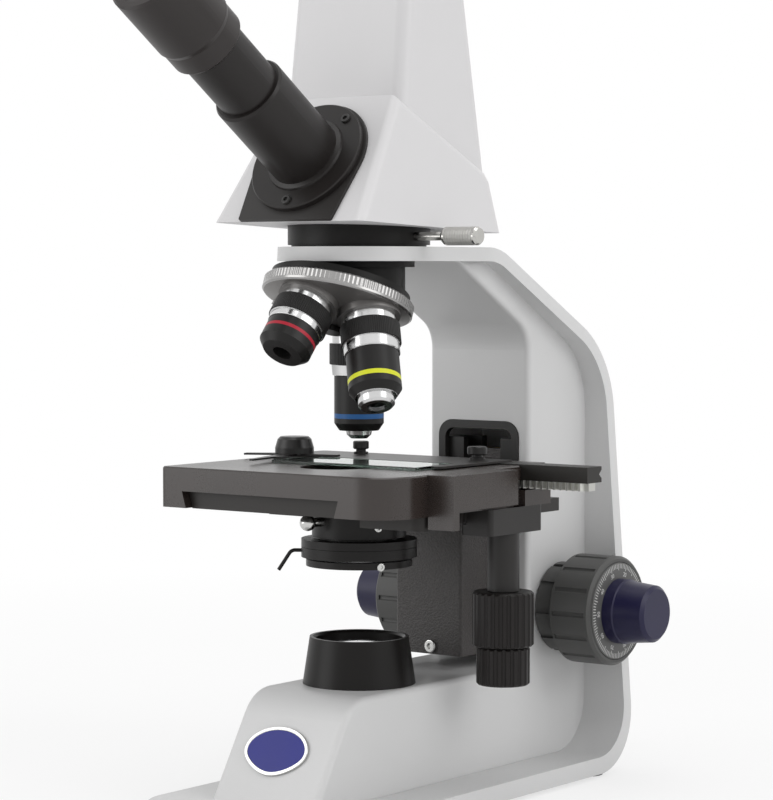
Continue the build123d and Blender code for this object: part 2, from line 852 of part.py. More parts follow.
# Upper stage plate: skirts, rear ledge, guide of the cross bar and side block
plate_low = stage_top - plate_thickness
skirt_low = stage_top - skirt_depth
ledge_top = lower_high
bar_low = stage_top - bar_depth
x_pitch_y = drive_y + module * drive_teeth / 2
cross_rack_top = bar_low
cross_rack_low = cross_rack_top - 3.3
vee_z = (bar_low + stage_top) / 2 + 0.3
vee = 1.8
guide_front = bar_back + sliding_gap
with BuildPart() as upper_plate:
    with BuildSketch(level.offset(skirt_low)):
        Polygon(
            (-stage_left, -stage_front),
            (stage_right, -stage_front),
            (stage_right, stage_back),
            (-stage_left, stage_back),
            align=None,
        )
        fillet(vertices().sort_by_distance((stage_right, -stage_front, 0))[0], stage_corner)
        fillet(vertices().sort_by_distance((-stage_left, -stage_front, 0))[0], 3)
    extrude(amount=skirt_depth)
    chamfer(faces().sort_by(Axis.Z)[-1].edges(), 0.6)
    with BuildSketch(front.offset(5 - stage_back)):
        Polygon(
            (-lower_left - sliding_gap + dovetail, skirt_low - 1),
            (-lower_left - sliding_gap + dovetail, skirt_low),
            (-lower_left - sliding_gap, lower_high),
            (-lower_left - sliding_gap, lower_high + sliding_gap),
            (lower_right + sliding_gap, lower_high + sliding_gap),
            (lower_right + sliding_gap, lower_high),
            (lower_right + sliding_gap - dovetail, skirt_low),
            (lower_right + sliding_gap - dovetail, skirt_low - 1),
            align=None,
        )
    extrude(amount=stage_back + stage_front, mode=Mode.SUBTRACT)
    with BuildSketch(level.offset(plate_low - 1)):
        SlotOverall(2 * slot_reach, 2 * slot_half, rotation=90)
    extrude(amount=plate_thickness + 2, mode=Mode.SUBTRACT)
    block(-stage_left, ledge_right, stage_back - 1, ledge_back, skirt_low, ledge_top)
    with BuildSketch(side.offset(-bar_left)):
        Polygon(
            (ledge_back, ledge_top - 1),
            (ledge_back, stage_top + 0.3),
            (guide_front, stage_top + 0.3),
            (guide_front, vee_z + vee),
            (guide_front - vee, vee_z),
            (guide_front, vee_z - vee),
            (guide_front, ledge_top - 1),
            align=None,
        )
    extrude(amount=bar_left + stage_right)
    block(stage_right - 1, stage_right + 12.7, -29, lower_back, stage_top - 14.4, stage_top)
    block(stage_right, stage_right + 12.7, -29, -25, stage_top - 22, stage_top)
    rod(at(drive_x, drive_y, 0), up, 7.2, ledge_top, bar_low + 0.3, mode=Mode.SUBTRACT)
    rod(at(drive_x, drive_y, 0), up, inner_shaft_radius + sliding_gap, skirt_low - 1, ledge_top + 1, mode=Mode.SUBTRACT)
    block(
        cross_rack_start - 34,
        stage_right + 1,
        x_pitch_y - addendum - sliding_gap,
        stage_back + 0.2,
        ledge_top,
        bar_low + 0.3,
        mode=Mode.SUBTRACT,
    )
upper_plate.part.label = "upper_plate"
export_step(upper_plate.part, "parts/upper_plate.step")

# Housing of the stage drives with the tube around the outer shaft
housing_low = skirt_low - 11
drive_origin = at(drive_x, drive_y, 0)
tooth_room = module * drive_teeth / 2 + addendum + 0.4
with BuildPart() as knob_housing:
    block(44, 60, 11.5, 50, housing_low, skirt_low)
    fillet(edges().filter_by(Axis.Z), 2)
    block(43, y_pitch_x + addendum + 0.7, 10, 51, skirt_low - 6.5, skirt_low + 1, mode=Mode.SUBTRACT)
    rod(drive_origin, up, outer_shaft_radius + 1.9, y_knob_high + knob_gap, housing_low + 1)
    rod(drive_origin, up, tooth_room, skirt_low - 6, skirt_low + 1, mode=Mode.SUBTRACT)
    rod(drive_origin, up, outer_shaft_radius + turning_gap, y_knob_high - 1, skirt_low, mode=Mode.SUBTRACT)
knob_housing.part.label = "knob_housing"
export_step(knob_housing.part, "parts/knob_housing.step")

# Upper knob: moves the stage from front to back
y_pinion_low = skirt_low - 5.5
y_pinion_high = skirt_low - 1
with BuildPart() as y_knob:
    with BuildSketch(meridian(drive_origin, up)):
        Polygon(
            (0, y_knob_low),
            (y_knob_radius - 0.8, y_knob_low),
            (y_knob_radius, y_knob_low + 0.8),
            (y_knob_radius, y_knob_high - 0.8),
            (y_knob_radius - 0.8, y_knob_high),
            (outer_shaft_radius, y_knob_high),
            (outer_shaft_radius, y_pinion_low),
            (0, y_pinion_low),
            align=None,
        )
    revolve(axis=Axis(drive_origin, up))
    with BuildSketch(level.offset(y_pinion_low)):
        with Locations((drive_x, drive_y)):
            Polygon(*gear_outline(drive_teeth, 180), align=None)
    extrude(amount=y_pinion_high - y_pinion_low)
    with BuildSketch(level.offset(y_knob_low - 1)):
        with Locations((drive_x, drive_y)):
            with PolarLocations(y_knob_radius + 0.35, flutes):
                Circle(1)
    extrude(amount=y_knob_high - y_knob_low + 0.9, mode=Mode.SUBTRACT)
    rod(drive_origin, up, inner_shaft_radius + turning_gap, y_knob_low - 1, y_pinion_high + 1, mode=Mode.SUBTRACT)
y_knob.part.label = "y_knob"
export_step(y_knob.part, "parts/y_knob.step")

# Lower knob: moves the slide from side to side
x_pinion_low = cross_rack_low - 0.2
x_pinion_high = cross_rack_top - 0.3
with BuildPart() as x_knob:
    with BuildSketch(meridian(drive_origin, up)):
        Polygon(
            (0, x_knob_low),
            (x_knob_radius - 0.8, x_knob_low),
            (x_knob_radius, x_knob_low + 0.8),
            (x_knob_radius, x_knob_high - 0.8),
            (x_knob_radius - 0.8, x_knob_high),
            (inner_shaft_radius, x_knob_high),
            (inner_shaft_radius, x_pinion_low),
            (0, x_pinion_low),
            align=None,
        )
    revolve(axis=Axis(drive_origin, up))
    with BuildSketch(level.offset(x_pinion_low)):
        with Locations((drive_x, drive_y)):
            Polygon(*gear_outline(drive_teeth, 90), align=None)
    extrude(amount=x_pinion_high - x_pinion_low)
    with BuildSketch(level.offset(x_knob_low - 1)):
        with Locations((drive_x, drive_y)):
            with PolarLocations(x_knob_radius + 0.35, flutes - 4):
                Circle(1)
    extrude(amount=x_knob_high - x_knob_low + 0.9, mode=Mode.SUBTRACT)
x_knob.part.label = "x_knob"
export_step(x_knob.part, "parts/x_knob.step")

# Cross bar with the groove that runs on the guide
with BuildPart() as x_bar:
    with BuildSketch(side.offset(-bar_left)):
        Polygon(
            (bar_front, bar_low),
            (bar_back, bar_low),
            (bar_back, vee_z - vee + 0.1),
            (bar_back - vee - 0.1, vee_z),
            (bar_back, vee_z + vee + 0.1),
            (bar_back, stage_top + bar_rise),
            (bar_front, stage_top + bar_rise),
            align=None,
        )
    extrude(amount=bar_left + bar_end)
x_bar.part.label = "x_bar"
export_step(x_bar.part, "parts/x_bar.step")

# Rack under the cross bar
with BuildPart() as x_rack:
    with BuildSketch(level.offset(cross_rack_low)):
        outline = rack_outline(cross_rack_start, bar_end, drive_x, 6)
        Polygon(*[(u, x_pitch_y - v) for u, v in outline], align=None)
    extrude(amount=cross_rack_top - cross_rack_low)
x_rack.part.label = "x_rack"
export_step(x_rack.part, "parts/x_rack.step")

# Slide holder: thin plate with a fixed jaw on the right
holder_low = stage_top + bar_rise
holder_high = holder_low + holder_thickness
slide_left = slide_right - slide_length
with BuildPart() as slide_holder:
    with BuildSketch(level.offset(holder_low)):
        Polygon(
            (-56, bar_back - 2),
            (-56, 8),
            (slide_left - 0.3, 8),
            (slide_left - 0.3, slide_width / 2 + 1),
            (slide_right, slide_width / 2 + 1),
            (slide_right, -2),
            (slide_right + 4, -5),
            (slide_right + 7, -5),
            (slide_right + 7, bar_back - 2),
            align=None,
        )
        fillet(vertices().sort_by_distance((-56, 8, 0))[0], 5)
        fillet(vertices().sort_by_distance((-56, bar_back, 0))[0], 3)
        fillet(vertices().sort_by_distance((slide_right + 7, -5, 0))[0], 2)
        with Locations((finger_x, finger_y)):
            Circle(2.5, mode=Mode.SUBTRACT)
    extrude(amount=holder_thickness)
slide_holder.part.label = "slide_holder"
export_step(slide_holder.part, "parts/slide_holder.step")

# Glass slide
with BuildPart() as slide_glass:
    block(
        slide_left,
        slide_right,
        -slide_width / 2,
        slide_width / 2,
        stage_top + 0.2,
        stage_top + 0.2 + slide_thickness,
    )
slide_glass.part.label = "slide_glass"
export_step(slide_glass.part, "parts/slide_glass.step")

# Thumb screws of the slide holder
with BuildPart() as holder_screws:
    for x, head in ((-29.5, 3.5), (33, 4.25)):
        with BuildSketch(meridian(at(x, 40, holder_high), up)):
            Polygon(
                (0, 0),
                (3.2, 0),
                (3.2, 0.8),
                (2.2, 1),
                (2.2, 2.1),
                (head - 0.4, 2.1),
                (head, 2.5),
                (head, 5.2),
                (head - 0.4, 5.6),
                (0, 5.6),
                align=None,
            )
        revolve(axis=Axis(at(x, 40, holder_high), up))
holder_screws.part.label = "holder_screws"
export_step(holder_screws.part, "parts/holder_screws.step")

# Sprung finger with its jaw, handle and tail
finger_low = holder_high + 0.1
finger_high = finger_low + 0.8
with BuildPart() as clip_finger:
    with BuildSketch(level.offset(finger_low)):
        with Locations((finger_x, finger_y)):
            Circle(6)
        Polygon((finger_x - 4, finger_y), (finger_x + 4, finger_y), (-37.5, -25), (-39.5, -25), align=None)
        Polygon((finger_x, finger_y - 4), (finger_x, finger_y + 4), (-25, 19.2), (-25, 17), align=None)
        Polygon((finger_x, finger_y - 4), (finger_x, finger_y + 3), (-66, 5.5), (-65, 2), align=None)
        Polygon((-43, -8), (slide_left - 0.1, -8), (slide_left - 0.1, -1), (-44.5, -1), align=None)
        with Locations((finger_x, finger_y)):
            Circle(2.5 + turning_gap, mode=Mode.SUBTRACT)
    extrude(amount=finger_high - finger_low)
    block(slide_left - 3, slide_left - 0.1, -8, -1, stage_top + 0.4, finger_high)
clip_finger.part.label = "clip_finger"
export_step(clip_finger.part, "parts/clip_finger.step")

# Cap and pin of the finger
with BuildPart() as finger_cap:
    with BuildSketch(meridian(at(finger_x, finger_y, 0), up)):
        Polygon(
            (0, holder_low),
            (2.5, holder_low),
            (2.5, finger_high + 0.1),
            (8.5, finger_high + 0.1),
            (8.5, finger_high + 2.5),
            (7.4, finger_high + 6.2),
            (6.2, finger_high + 7.3),
            (0, finger_high + 7.3),
            align=None,
        )
    revolve(axis=Axis(at(finger_x, finger_y, 0), up))
finger_cap.part.label = "finger_cap"
export_step(finger_cap.part, "parts/finger_cap.step")

# Sleeve that carries the condenser
optical = at(0, 0, 0)
clamp_angle = degrees(atan2(-26, -7))
clamp_way = (cos(radians(clamp_angle)), sin(radians(clamp_angle)), 0)
clamp_z = sleeve_low + 6.9
with BuildPart() as condenser_sleeve:
    rod(optical, up, sleeve_radius, sleeve_low, lower_low)
    rod(optical, up, condenser_radius + turning_gap, sleeve_low - 1, lower_low + 1, mode=Mode.SUBTRACT)
    rod(at(0, 0, clamp_z), clamp_way, 2 + thread_gap, 5, sleeve_radius + 1, mode=Mode.SUBTRACT)
condenser_sleeve.part.label = "condenser_sleeve"
export_step(condenser_sleeve.part, "parts/condenser_sleeve.step")

# Clamp screw of the condenser with a ball head
with BuildPart() as condenser_clamp:
    rod(at(0, 0, clamp_z), clamp_way, 2, condenser_radius + 0.2, sleeve_radius + 5)
    with Locations(at((sleeve_radius + 7) * clamp_way[0], (sleeve_radius + 7) * clamp_way[1], clamp_z)):
        Sphere(3.4)
condenser_clamp.part.label = "condenser_clamp"
export_step(condenser_clamp.part, "parts/condenser_clamp.step")

# Condenser body with the slot of the iris lever
ring_low = condenser_ring_low
iris_low = ring_low + 0.6
iris_high = ring_low + 5
with BuildPart() as condenser_body:
    with BuildSketch(meridian(optical, up)):
        Polygon(
            (12, ring_low),
            (19, ring_low),
            (19, iris_high),
            (condenser_ring_radius, iris_high),
            (condenser_ring_radius, ring_low + 8.3),
            (condenser_radius, ring_low + 8.3),
            (condenser_radius, condenser_top - 6.5),
            (condenser_neck_radius, condenser_top - 6.5),
            (condenser_neck_radius, condenser_top - 0.8),
            (condenser_neck_radius - 0.8, condenser_top),
            (10, condenser_top),
            (10, condenser_top - 3),
            (12, condenser_top - 3),
            align=None,
        )
    revolve(axis=Axis(optical, up))
condenser_body.part.label = "condenser_body"
export_step(condenser_body.part, "parts/condenser_body.step")

# Top lens of the condenser
with BuildPart() as condenser_lens:
    with BuildSketch(meridian(optical, up)):
        with BuildLine():
            Polyline((0, condenser_top - 0.4), (0, condenser_top - 8), (12, condenser_top - 6), (12, condenser_top - 3))
            Line((12, condenser_top - 3), (10, condenser_top - 3))
            Line((10, condenser_top - 3), (10, condenser_top - 0.4))
            Line((10, condenser_top - 0.4), (0, condenser_top - 0.4))
        make_face()
    revolve(axis=Axis(optical, up))
condenser_lens.part.label = "condenser_lens"
export_step(condenser_lens.part, "parts/condenser_lens.step")

# Iris ring and its bent lever
lever_turn = radians(iris_angle)
lever_way = (cos(lever_turn), sin(lever_turn), 0)
lever_z = (iris_low + iris_high) / 2
with BuildPart() as iris_lever:
    with BuildSketch(meridian(optical, up)):
        Polygon(
            (19 + turning_gap, iris_low),
            (condenser_ring_radius, iris_low),
            (condenser_ring_radius, iris_high - 0.15),
            (19 + turning_gap, iris_high - 0.15),
            align=None,
        )
    revolve(axis=Axis(optical, up))
    with BuildLine(Plane(origin=at(0, 0, 0), x_dir=lever_way, z_dir=(-lever_way[1], lever_way[0], 0) )) as lever_path:
        FilletPolyline((21.5, -lever_z), (29, -lever_z), (34.5, -lever_z + 8.5), radius=3)
    with BuildSketch(Plane(origin=at(21.5 * lever_way[0], 21.5 * lever_way[1], lever_z), z_dir=lever_way)):
        Circle(0.8)
    sweep(path=lever_path.wires()[0])
iris_lever.part.label = "iris_lever"
export_step(iris_lever.part, "parts/iris_lever.step")

# Swing-out filter ring
filter_high = ring_low - 0.3
filter_low = filter_high - 2.8
with BuildPart() as filter_holder:
    with BuildSketch(level.offset(filter_low)):
        Circle(filter_radius)
        Circle(15, mode=Mode.SUBTRACT)
    extrude(amount=filter_high - filter_low)
    with BuildSketch(level.offset(filter_low + 1)):
        Circle(16.5)
    extrude(amount=filter_high - filter_low, mode=Mode.SUBTRACT)
    rod(at(filter_pivot_x, filter_pivot_y, 0), up, 1.4, filter_low, ring_low)
filter_holder.part.label = "filter_holder"
export_step(filter_holder.part, "parts/filter_holder.step")

# Fixed upper half of the nosepiece with the pivot pin
tilt = radians(turret_tilt)
apex = at(0, 0, apex_z)
turret_way = (0, -sin(tilt), -cos(tilt))
turret_line = Axis(apex, turret_way)
mount_end = 36
disc_end = 39
pin_radius = 3.5
beam_radius = 8
hub_end = 54.6
with BuildPart() as nosepiece_mount:
    rod(optical, up, mount_radius, apex_z - mount_end / cos(tilt) - 10, arm_under)
    with Locations(Plane(origin=apex, z_dir=turret_way).offset(mount_end)):
        Cylinder(60, 40, align=(Align.CENTER, Align.CENTER, Align.MIN), mode=Mode.SUBTRACT)
    rod(apex, turret_way, 29.5, mount_end, disc_end)
    rod(optical, up, mount_radius + 4, arm_under - 2.5, arm_under)
    rod(apex, turret_way, pin_radius, disc_end - 1, hub_end + 0.3)
    rod(apex, turret_way, 4.8, hub_end + 0.3, hub_end + 2.6)
    rod(optical, up, beam_radius, apex_z - disc_end / cos(tilt) - 12, arm_under + 1, mode=Mode.SUBTRACT)
nosepiece_mount.part.label = "nosepiece_mount"
export_step(nosepiece_mount.part, "parts/nosepiece_mount.step")


def port_way(phi):
    swing = radians(phi)
    return (
        sin(tilt) * sin(swing),
        -cos(tilt) * sin(tilt) + sin(tilt) * cos(swing) * cos(tilt),
        -cos(tilt) * cos(tilt) - sin(tilt) * cos(swing) * sin(tilt),
    )


# Turret: hollow shell with a knurled rim and four threaded ports
cone_reach = seat_reach - 1.5
rim_start = disc_end + 0.3
rim_end = (cone_reach - (turret_radius - 0.6) * sin(tilt)) / cos(tilt)
with BuildPart() as turret:
    with BuildSketch(meridian(apex, turret_way)):
        Polygon(
            (pin_radius + turning_gap, rim_start),
            (7, rim_start),
            (7, rim_start + 4),
            (turret_radius - 4, rim_start + 2),
            (turret_radius - 4, rim_start),
            (turret_radius - 0.6, rim_start),
            (turret_radius, rim_start + 0.6),
            (turret_radius, rim_end - 0.6),
            (turret_radius - 0.6, rim_end),
            ((cone_reach - hub_end * cos(tilt)) / sin(tilt), hub_end),
            (pin_radius + turning_gap, hub_end),
            align=None,
        )
    revolve(axis=turret_line)
    for phi in (0, 90, 180, 270):
        rod(apex, port_way(phi), 13, seat_reach - 6, seat_reach)
    for phi in (0, 90, 180, 270):
        rod(apex, port_way(phi), port_radius, seat_reach - 6, seat_reach + 1, mode=Mode.SUBTRACT)
        rod(apex, port_way(phi), beam_radius, rim_start, seat_reach, mode=Mode.SUBTRACT)
turret.part.label = "turret"
export_step(turret.part, "parts/turret.step")

# Objectives, each profile starts at the seat
thread_radius = port_radius - thread_gap
thread_length = 4.5


def objective_profile(steps, bore, tip_bore, tip_depth):
    return [(bore, -thread_length), (thread_radius, -thread_length), (thread_radius, 0)] + steps + [
        (tip_bore, steps[-1][1]),
        (tip_bore, steps[-1][1] - tip_depth),
        (bore, steps[-1][1] - tip_depth),
    ]


way_40x = port_way(0)
length = objective_40x_length
with BuildPart() as objective_40x:
    steps = [(11.3, 0), (11.3, 4), (12.5, 4.4), (12.5, 13), (11.6, 13.4), (11.2, 17.6), (10.5, 18)]
    steps += [(10.5, length - 6.5), (8.4, length - 3.4), (5.5, length - 3.4), (5.2, length - 1.6), (3.5, length)]
    with BuildSketch(meridian(apex, way_40x).offset(0)):
        with Locations((0, seat_reach)):
            Polygon(*objective_profile(steps, 5, 1.5, 3), align=None)
    revolve(axis=Axis(apex, way_40x))
objective_40x.part.label = "objective_40x"
export_step(objective_40x.part, "parts/objective_40x.step")

way_10x = port_way(90)
length = objective_10x_length
with BuildPart() as objective_10x:
    steps = [(11.3, 0), (11.3, 3.8), (12.5, 4.2), (12.5, 12), (11.6, 12.4), (11.6, 16.6), (11, 17)]
    steps += [(11, length - 7.5), (8.6, length - 4.2), (7.5, length - 4.2), (7.5, length - 1), (6.5, length)]
    with BuildSketch(meridian(apex, way_10x)):
        with Locations((0, seat_reach)):
            Polygon(*objective_profile(steps, 6, 4, 3), align=None)
    revolve(axis=Axis(apex, way_10x))
objective_10x.part.label = "objective_10x"
export_step(objective_10x.part, "parts/objective_10x.step")

way_4x = port_way(180)
length = objective_4x_length
with BuildPart() as objective_4x:
    steps = [(11.3, 0), (11.3, 3.2), (12.5, 3.6), (12.5, 11), (11.6, 11.4), (11.6, 14), (11.2, 14.4)]
    steps += [(11.2, length - 3), (8.5, length)]
    with BuildSketch(meridian(apex, way_4x)):
        with Locations((0, seat_reach)):
            Polygon(*objective_profile(steps, 7, 4, 5), align=None)
    revolve(axis=Axis(apex, way_4x))
objective_4x.part.label = "objective_4x"
export_step(objective_4x.part, "parts/objective_4x.step")

# Front lenses of the three objectives
with BuildPart() as objective_lenses:
    rod(apex, way_40x, 5, seat_reach + objective_40x_length - 6, seat_reach + objective_40x_length - 3)
    rod(apex, way_40x, 1.5, seat_reach + objective_40x_length - 3.5, seat_reach + objective_40x_length - 0.3)
    rod(apex, way_10x, 6, seat_reach + objective_10x_length - 6, seat_reach + objective_10x_length - 3)
    rod(apex, way_10x, 4, seat_reach + objective_10x_length - 3.5, seat_reach + objective_10x_length - 0.8)
    rod(apex, way_4x, 7, seat_reach + objective_4x_length - 8, seat_reach + objective_4x_length - 5)
objective_lenses.part.label = "objective_lenses"
export_step(objective_lenses.part, "parts/objective_lenses.step")

# Round seat of the head on the arm
ring_floor = arm_top + 2
lock_z = arm_top + 4.2
with BuildPart() as head_ring:
    with BuildSketch(meridian(optical, up)):
        Polygon(
            (roof_hole, arm_top),
            (head_ring_radius - 1.5, arm_top),
            (head_ring_radius - 1.5, arm_top + 0.8),
            (head_ring_radius, arm_top + 0.8),
            (head_ring_radius, head_ring_top - 0.8),
            (head_ring_radius - 0.8, head_ring_top),
            (head_ring_bore, head_ring_top),
            (head_ring_bore, ring_floor),
            (roof_hole, ring_floor),
            align=None,
        )
    revolve(axis=Axis(optical, up))
    rod(at(0, 0, lock_z), right, 1.8 + thread_gap, head_ring_bore - 2, head_ring_radius + 1, mode=Mode.SUBTRACT)
head_ring.part.label = "head_ring"
export_step(head_ring.part, "parts/head_ring.step")

# Knurled lock screw of the head
with BuildPart() as lock_screw:
    with BuildSketch(meridian(at(0, 0, lock_z), right)):
        Polygon(
            (0, head_ring_bore + 0.1),
            (1.8, head_ring_bore + 0.1),
            (1.8, 44),
            (2.8, 44),
            (3.85, 45.4),
            (3.85, 61),
            (3.2, 62),
            (0, 62),
            align=None,
        )
    revolve(axis=Axis(at(0, 0, lock_z), right))
lock_screw.part.label = "lock_screw"
export_step(lock_screw.part, "parts/lock_screw.step")

# Turning base of the head with the pocket of the prism
recess_ceiling = head_ring_top + knob_gap
prism_half = 9
prism_low = ring_floor + 3.2
with BuildPart() as head_base:
    rod(optical, up, head_ring_bore - turning_gap, ring_floor, recess_ceiling)
    block(
        -prism_half - 0.1,
        prism_half + 0.1,
        -prism_half - 0.1,
        prism_half + 0.1,
        prism_low,
        recess_ceiling + 1,
        mode=Mode.SUBTRACT,
    )
    rod(optical, up, 7.5, ring_floor - 1, prism_low + 1, mode=Mode.SUBTRACT)
head_base.part.label = "head_base"
export_step(head_base.part, "parts/head_base.step")

# Prism that turns the light towards the eyepiece
prism_top = prism_low + 17.6
exit_y = -prism_half + 13 * sin(sight)
exit_z = prism_top - 13 * cos(sight)
with BuildPart() as prism:
    with BuildSketch(side):
        Polygon(
            (-prism_half, prism_low),
            (prism_half, prism_low),
            (prism_half, prism_top),
            (exit_y, prism_top),
            (-prism_half, exit_z),
            align=None,
        )
    extrude(amount=prism_half, both=True)
prism.part.label = "prism"
export_step(prism.part, "parts/prism.step")

# Head housing: wide wedge below, camera tower above
face_way = (0, -cos(sight), sin(sight))
face = Plane(origin=at(0, face_y, face_z), x_dir=(1, 0, 0), z_dir=face_way)
face_low_y = face_y - (face_z - wedge_front_z) * tan(sight)
face_high_y = face_y + (wedge_crest - face_z) * tan(sight)
with BuildPart() as wedge:
    with BuildSketch(side):
        Polygon(
            (face_low_y, wedge_front_z),
            (wedge_back_y, wedge_back_z),
            (wedge_back_y - 3.5, wedge_back_z + 22),
            (wedge_back_y - 6.5, wedge_back_z + 26),
            (face_high_y, wedge_crest),
            align=None,
        )
    extrude(amount=wedge_half + 1, both=True)
    wedge_slope = (wedge_half - wedge_top_half) / (wedge_crest - wedge_back_z)
    with BuildSketch(front.offset(-wedge_back_y - 5)):
        Polygon(
            (-wedge_half - 5 * wedge_slope, wedge_back_z - 5),
            (wedge_half + 5 * wedge_slope, wedge_back_z - 5),
            (wedge_top_half - 5 * wedge_slope, wedge_crest + 5),
            (-wedge_top_half + 5 * wedge_slope, wedge_crest + 5),
            align=None,
        )
    extrude(amount=wedge_back_y + 60, mode=Mode.INTERSECT)
    flanks = edges().filter_by(lambda e: abs(e.center().X - axis_x) > 28 and e.center().Z > wedge_front_z + 1)
    fillet(flanks, 4)

tower_rise = head_top - tower_low
drop = tower_low - recess_ceiling - 2


def tower_at(z, wall):
    part_way = (z - tower_low) / tower_rise
    half = tower_half_low + (tower_half_top - tower_half_low) * part_way - wall
    near = tower_front_low + (tower_front_top - tower_front_low) * part_way + wall
    far = tower_back_low + (tower_back_top - tower_back_low) * part_way - wall
    return half, near, far


board_z = 315
usb_z = board_z + 4.6
with BuildPart() as head_housing:
    add(wedge.part)
    for z in (tower_low, head_top):
        half, near, far = tower_at(z, 0)
        with BuildSketch(level.offset(z)):
            with Locations((0, (near + far) / 2)):
                RectangleRounded(2 * half, far - near, tower_corner)
    loft()
    fillet(faces().sort_by(Axis.Z)[-1].edges(), 2)
    for z in (recess_ceiling + 4, head_top - shell):
        half, near, far = tower_at(z, shell)
        with BuildSketch(level.offset(z)):
            with Locations((0, (near + far) / 2)):
                RectangleRounded(2 * half, far - near, tower_corner - shell)
    loft(mode=Mode.SUBTRACT)
    rod(optical, up, head_ring_radius + 0.4, wedge_back_z - 5, recess_ceiling, mode=Mode.SUBTRACT)
    block(
        -prism_half - 1,
        prism_half + 1,
        -prism_half - 1,
        prism_half + 1,
        recess_ceiling - 1,
        recess_ceiling + 5,
        mode=Mode.SUBTRACT,
    )
    rod(at(0, face_y, face_z), face_way, sleeve_tube_radius, -40, 5, mode=Mode.SUBTRACT)
    block(-5, 5, 30, 50, usb_z - 3, usb_z + 3, mode=Mode.SUBTRACT)
head_housing.part.label = "head_housing"
export_step(head_housing.part, "parts/head_housing.step")

# Black panel on the front face of the head
panel_radius = 27.3
panel_low = -(face_z - wedge_front_z) / cos(sight)
with BuildPart() as front_panel:
    with BuildSketch(face):
        Circle(panel_radius)
        with Locations((-23, panel_low + 1), (23, panel_low + 1)):
            Circle(1)
        make_hull()
        Circle(sleeve_tube_radius, mode=Mode.SUBTRACT)
    extrude(amount=panel_thickness)
front_panel.part.label = "front_panel"
export_step(front_panel.part, "parts/front_panel.step")

# Inclined eyepiece tube with its flange
eye_origin = at(0, face_y, face_z)
eye_line = Axis(eye_origin, face_way)
eye_bore = 11.65
with BuildPart() as eyepiece_tube:
    with BuildSketch(meridian(eye_origin, face_way)):
        Polygon(
            (eye_bore, panel_thickness),
            (flange_radius, panel_thickness),
            (flange_radius, flange_face - 0.5),
            (flange_radius - 0.5, flange_face),
            (tube_radius + 2.2, flange_face),
            (tube_radius + 1.8, flange_face + 1),
            (tube_radius, flange_face + 1.6),
            (tube_radius, flange_face + tube_length - 1.2),
            (tube_radius - 0.8, flange_face + tube_length),
            (sleeve_tube_radius, flange_face + tube_length),
            (sleeve_tube_radius, flange_face + sleeve_tube_end),
            (eye_bore, flange_face + sleeve_tube_end),
            align=None,
        )
    revolve(axis=eye_line)
eyepiece_tube.part.label = "eyepiece_tube"
export_step(eyepiece_tube.part, "parts/eyepiece_tube.step")

# Eyepiece, lifts out of the tube
eye_seat = flange_face + sleeve_tube_end
eye_end = flange_face + eyepiece_end
with BuildPart() as eyepiece_body:
    with BuildSketch(meridian(eye_origin, face_way)):
        Polygon(
            (9, eye_seat - 24),
            (eye_bore - turning_gap, eye_seat - 24),
            (eye_bore - turning_gap, eye_seat),
            (eyepiece_root_radius - 1, eye_seat),
            (eyepiece_root_radius, eye_seat + 1.2),
            (eyepiece_root_radius, eye_seat + 10),
            (eyepiece_end_radius, eye_seat + 12),
            (eyepiece_end_radius, eye_end - eyepiece_chamfer),
            (eyepiece_end_radius - eyepiece_chamfer, eye_end),
            (13.2, eye_end),
            (12.4, eye_end - 1.6),
            (9.5, eye_end - 2.6),
            (9.5, eye_end - 5),
            (9, eye_end - 5),
            align=None,
        )
    revolve(axis=eye_line)
eyepiece_body.part.label = "eyepiece_body"
export_step(eyepiece_body.part, "parts/eyepiece_body.step")

# Eye lens
with BuildPart() as eye_lens:
    with BuildSketch(meridian(eye_origin, face_way)):
        with BuildLine():
            Polyline((0, eye_end - 3), (0, eye_end - 5), (9.5, eye_end - 5), (9.5, eye_end - 4))
            ThreePointArc((9.5, eye_end - 4), dome(9.5, eye_end - 4, eye_end - 3), (0, eye_end - 3))
        make_face()
    revolve(axis=eye_line)
eye_lens.part.label = "eye_lens"
export_step(eye_lens.part, "parts/eye_lens.step")

# Camera board with its lens barrel
half, near, far = tower_at(board_z, shell)
with BuildPart() as camera_board:
    with BuildSketch(level.offset(board_z)):
        with Locations((0, (near + far) / 2)):
            RectangleRounded(2 * half - 0.5, far - near - 0.6, 3)
    extrude(amount=1.6)
    rod(optical, up, 6, board_z - 14, board_z + 1)
    rod(optical, up, 4.6, board_z - 15, board_z - 12, mode=Mode.SUBTRACT)
    block(-8, 8, 0, 16, board_z + 1, board_z + 3)
camera_board.part.label = "camera_board"
export_step(camera_board.part, "parts/camera_board.step")

# Data socket at the back of the tower
half, near, far = tower_at(usb_z, 0)
with BuildPart() as usb_socket:
    block(-4.6, 4.6, far - 12, far - 0.8, board_z + 1.6, usb_z + 2.6)
    block(-3.7, 3.7, far - 9, far, usb_z - 1.6, usb_z + 1.6, mode=Mode.SUBTRACT)
    block(-2.6, 2.6, far - 10, far - 2, usb_z - 0.5, usb_z + 0.5)
usb_socket.part.label = "usb_socket"
export_step(usb_socket.part, "parts/usb_socket.step")
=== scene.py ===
import bpy
import bmesh
import json
import math
from mathutils import Matrix, Vector


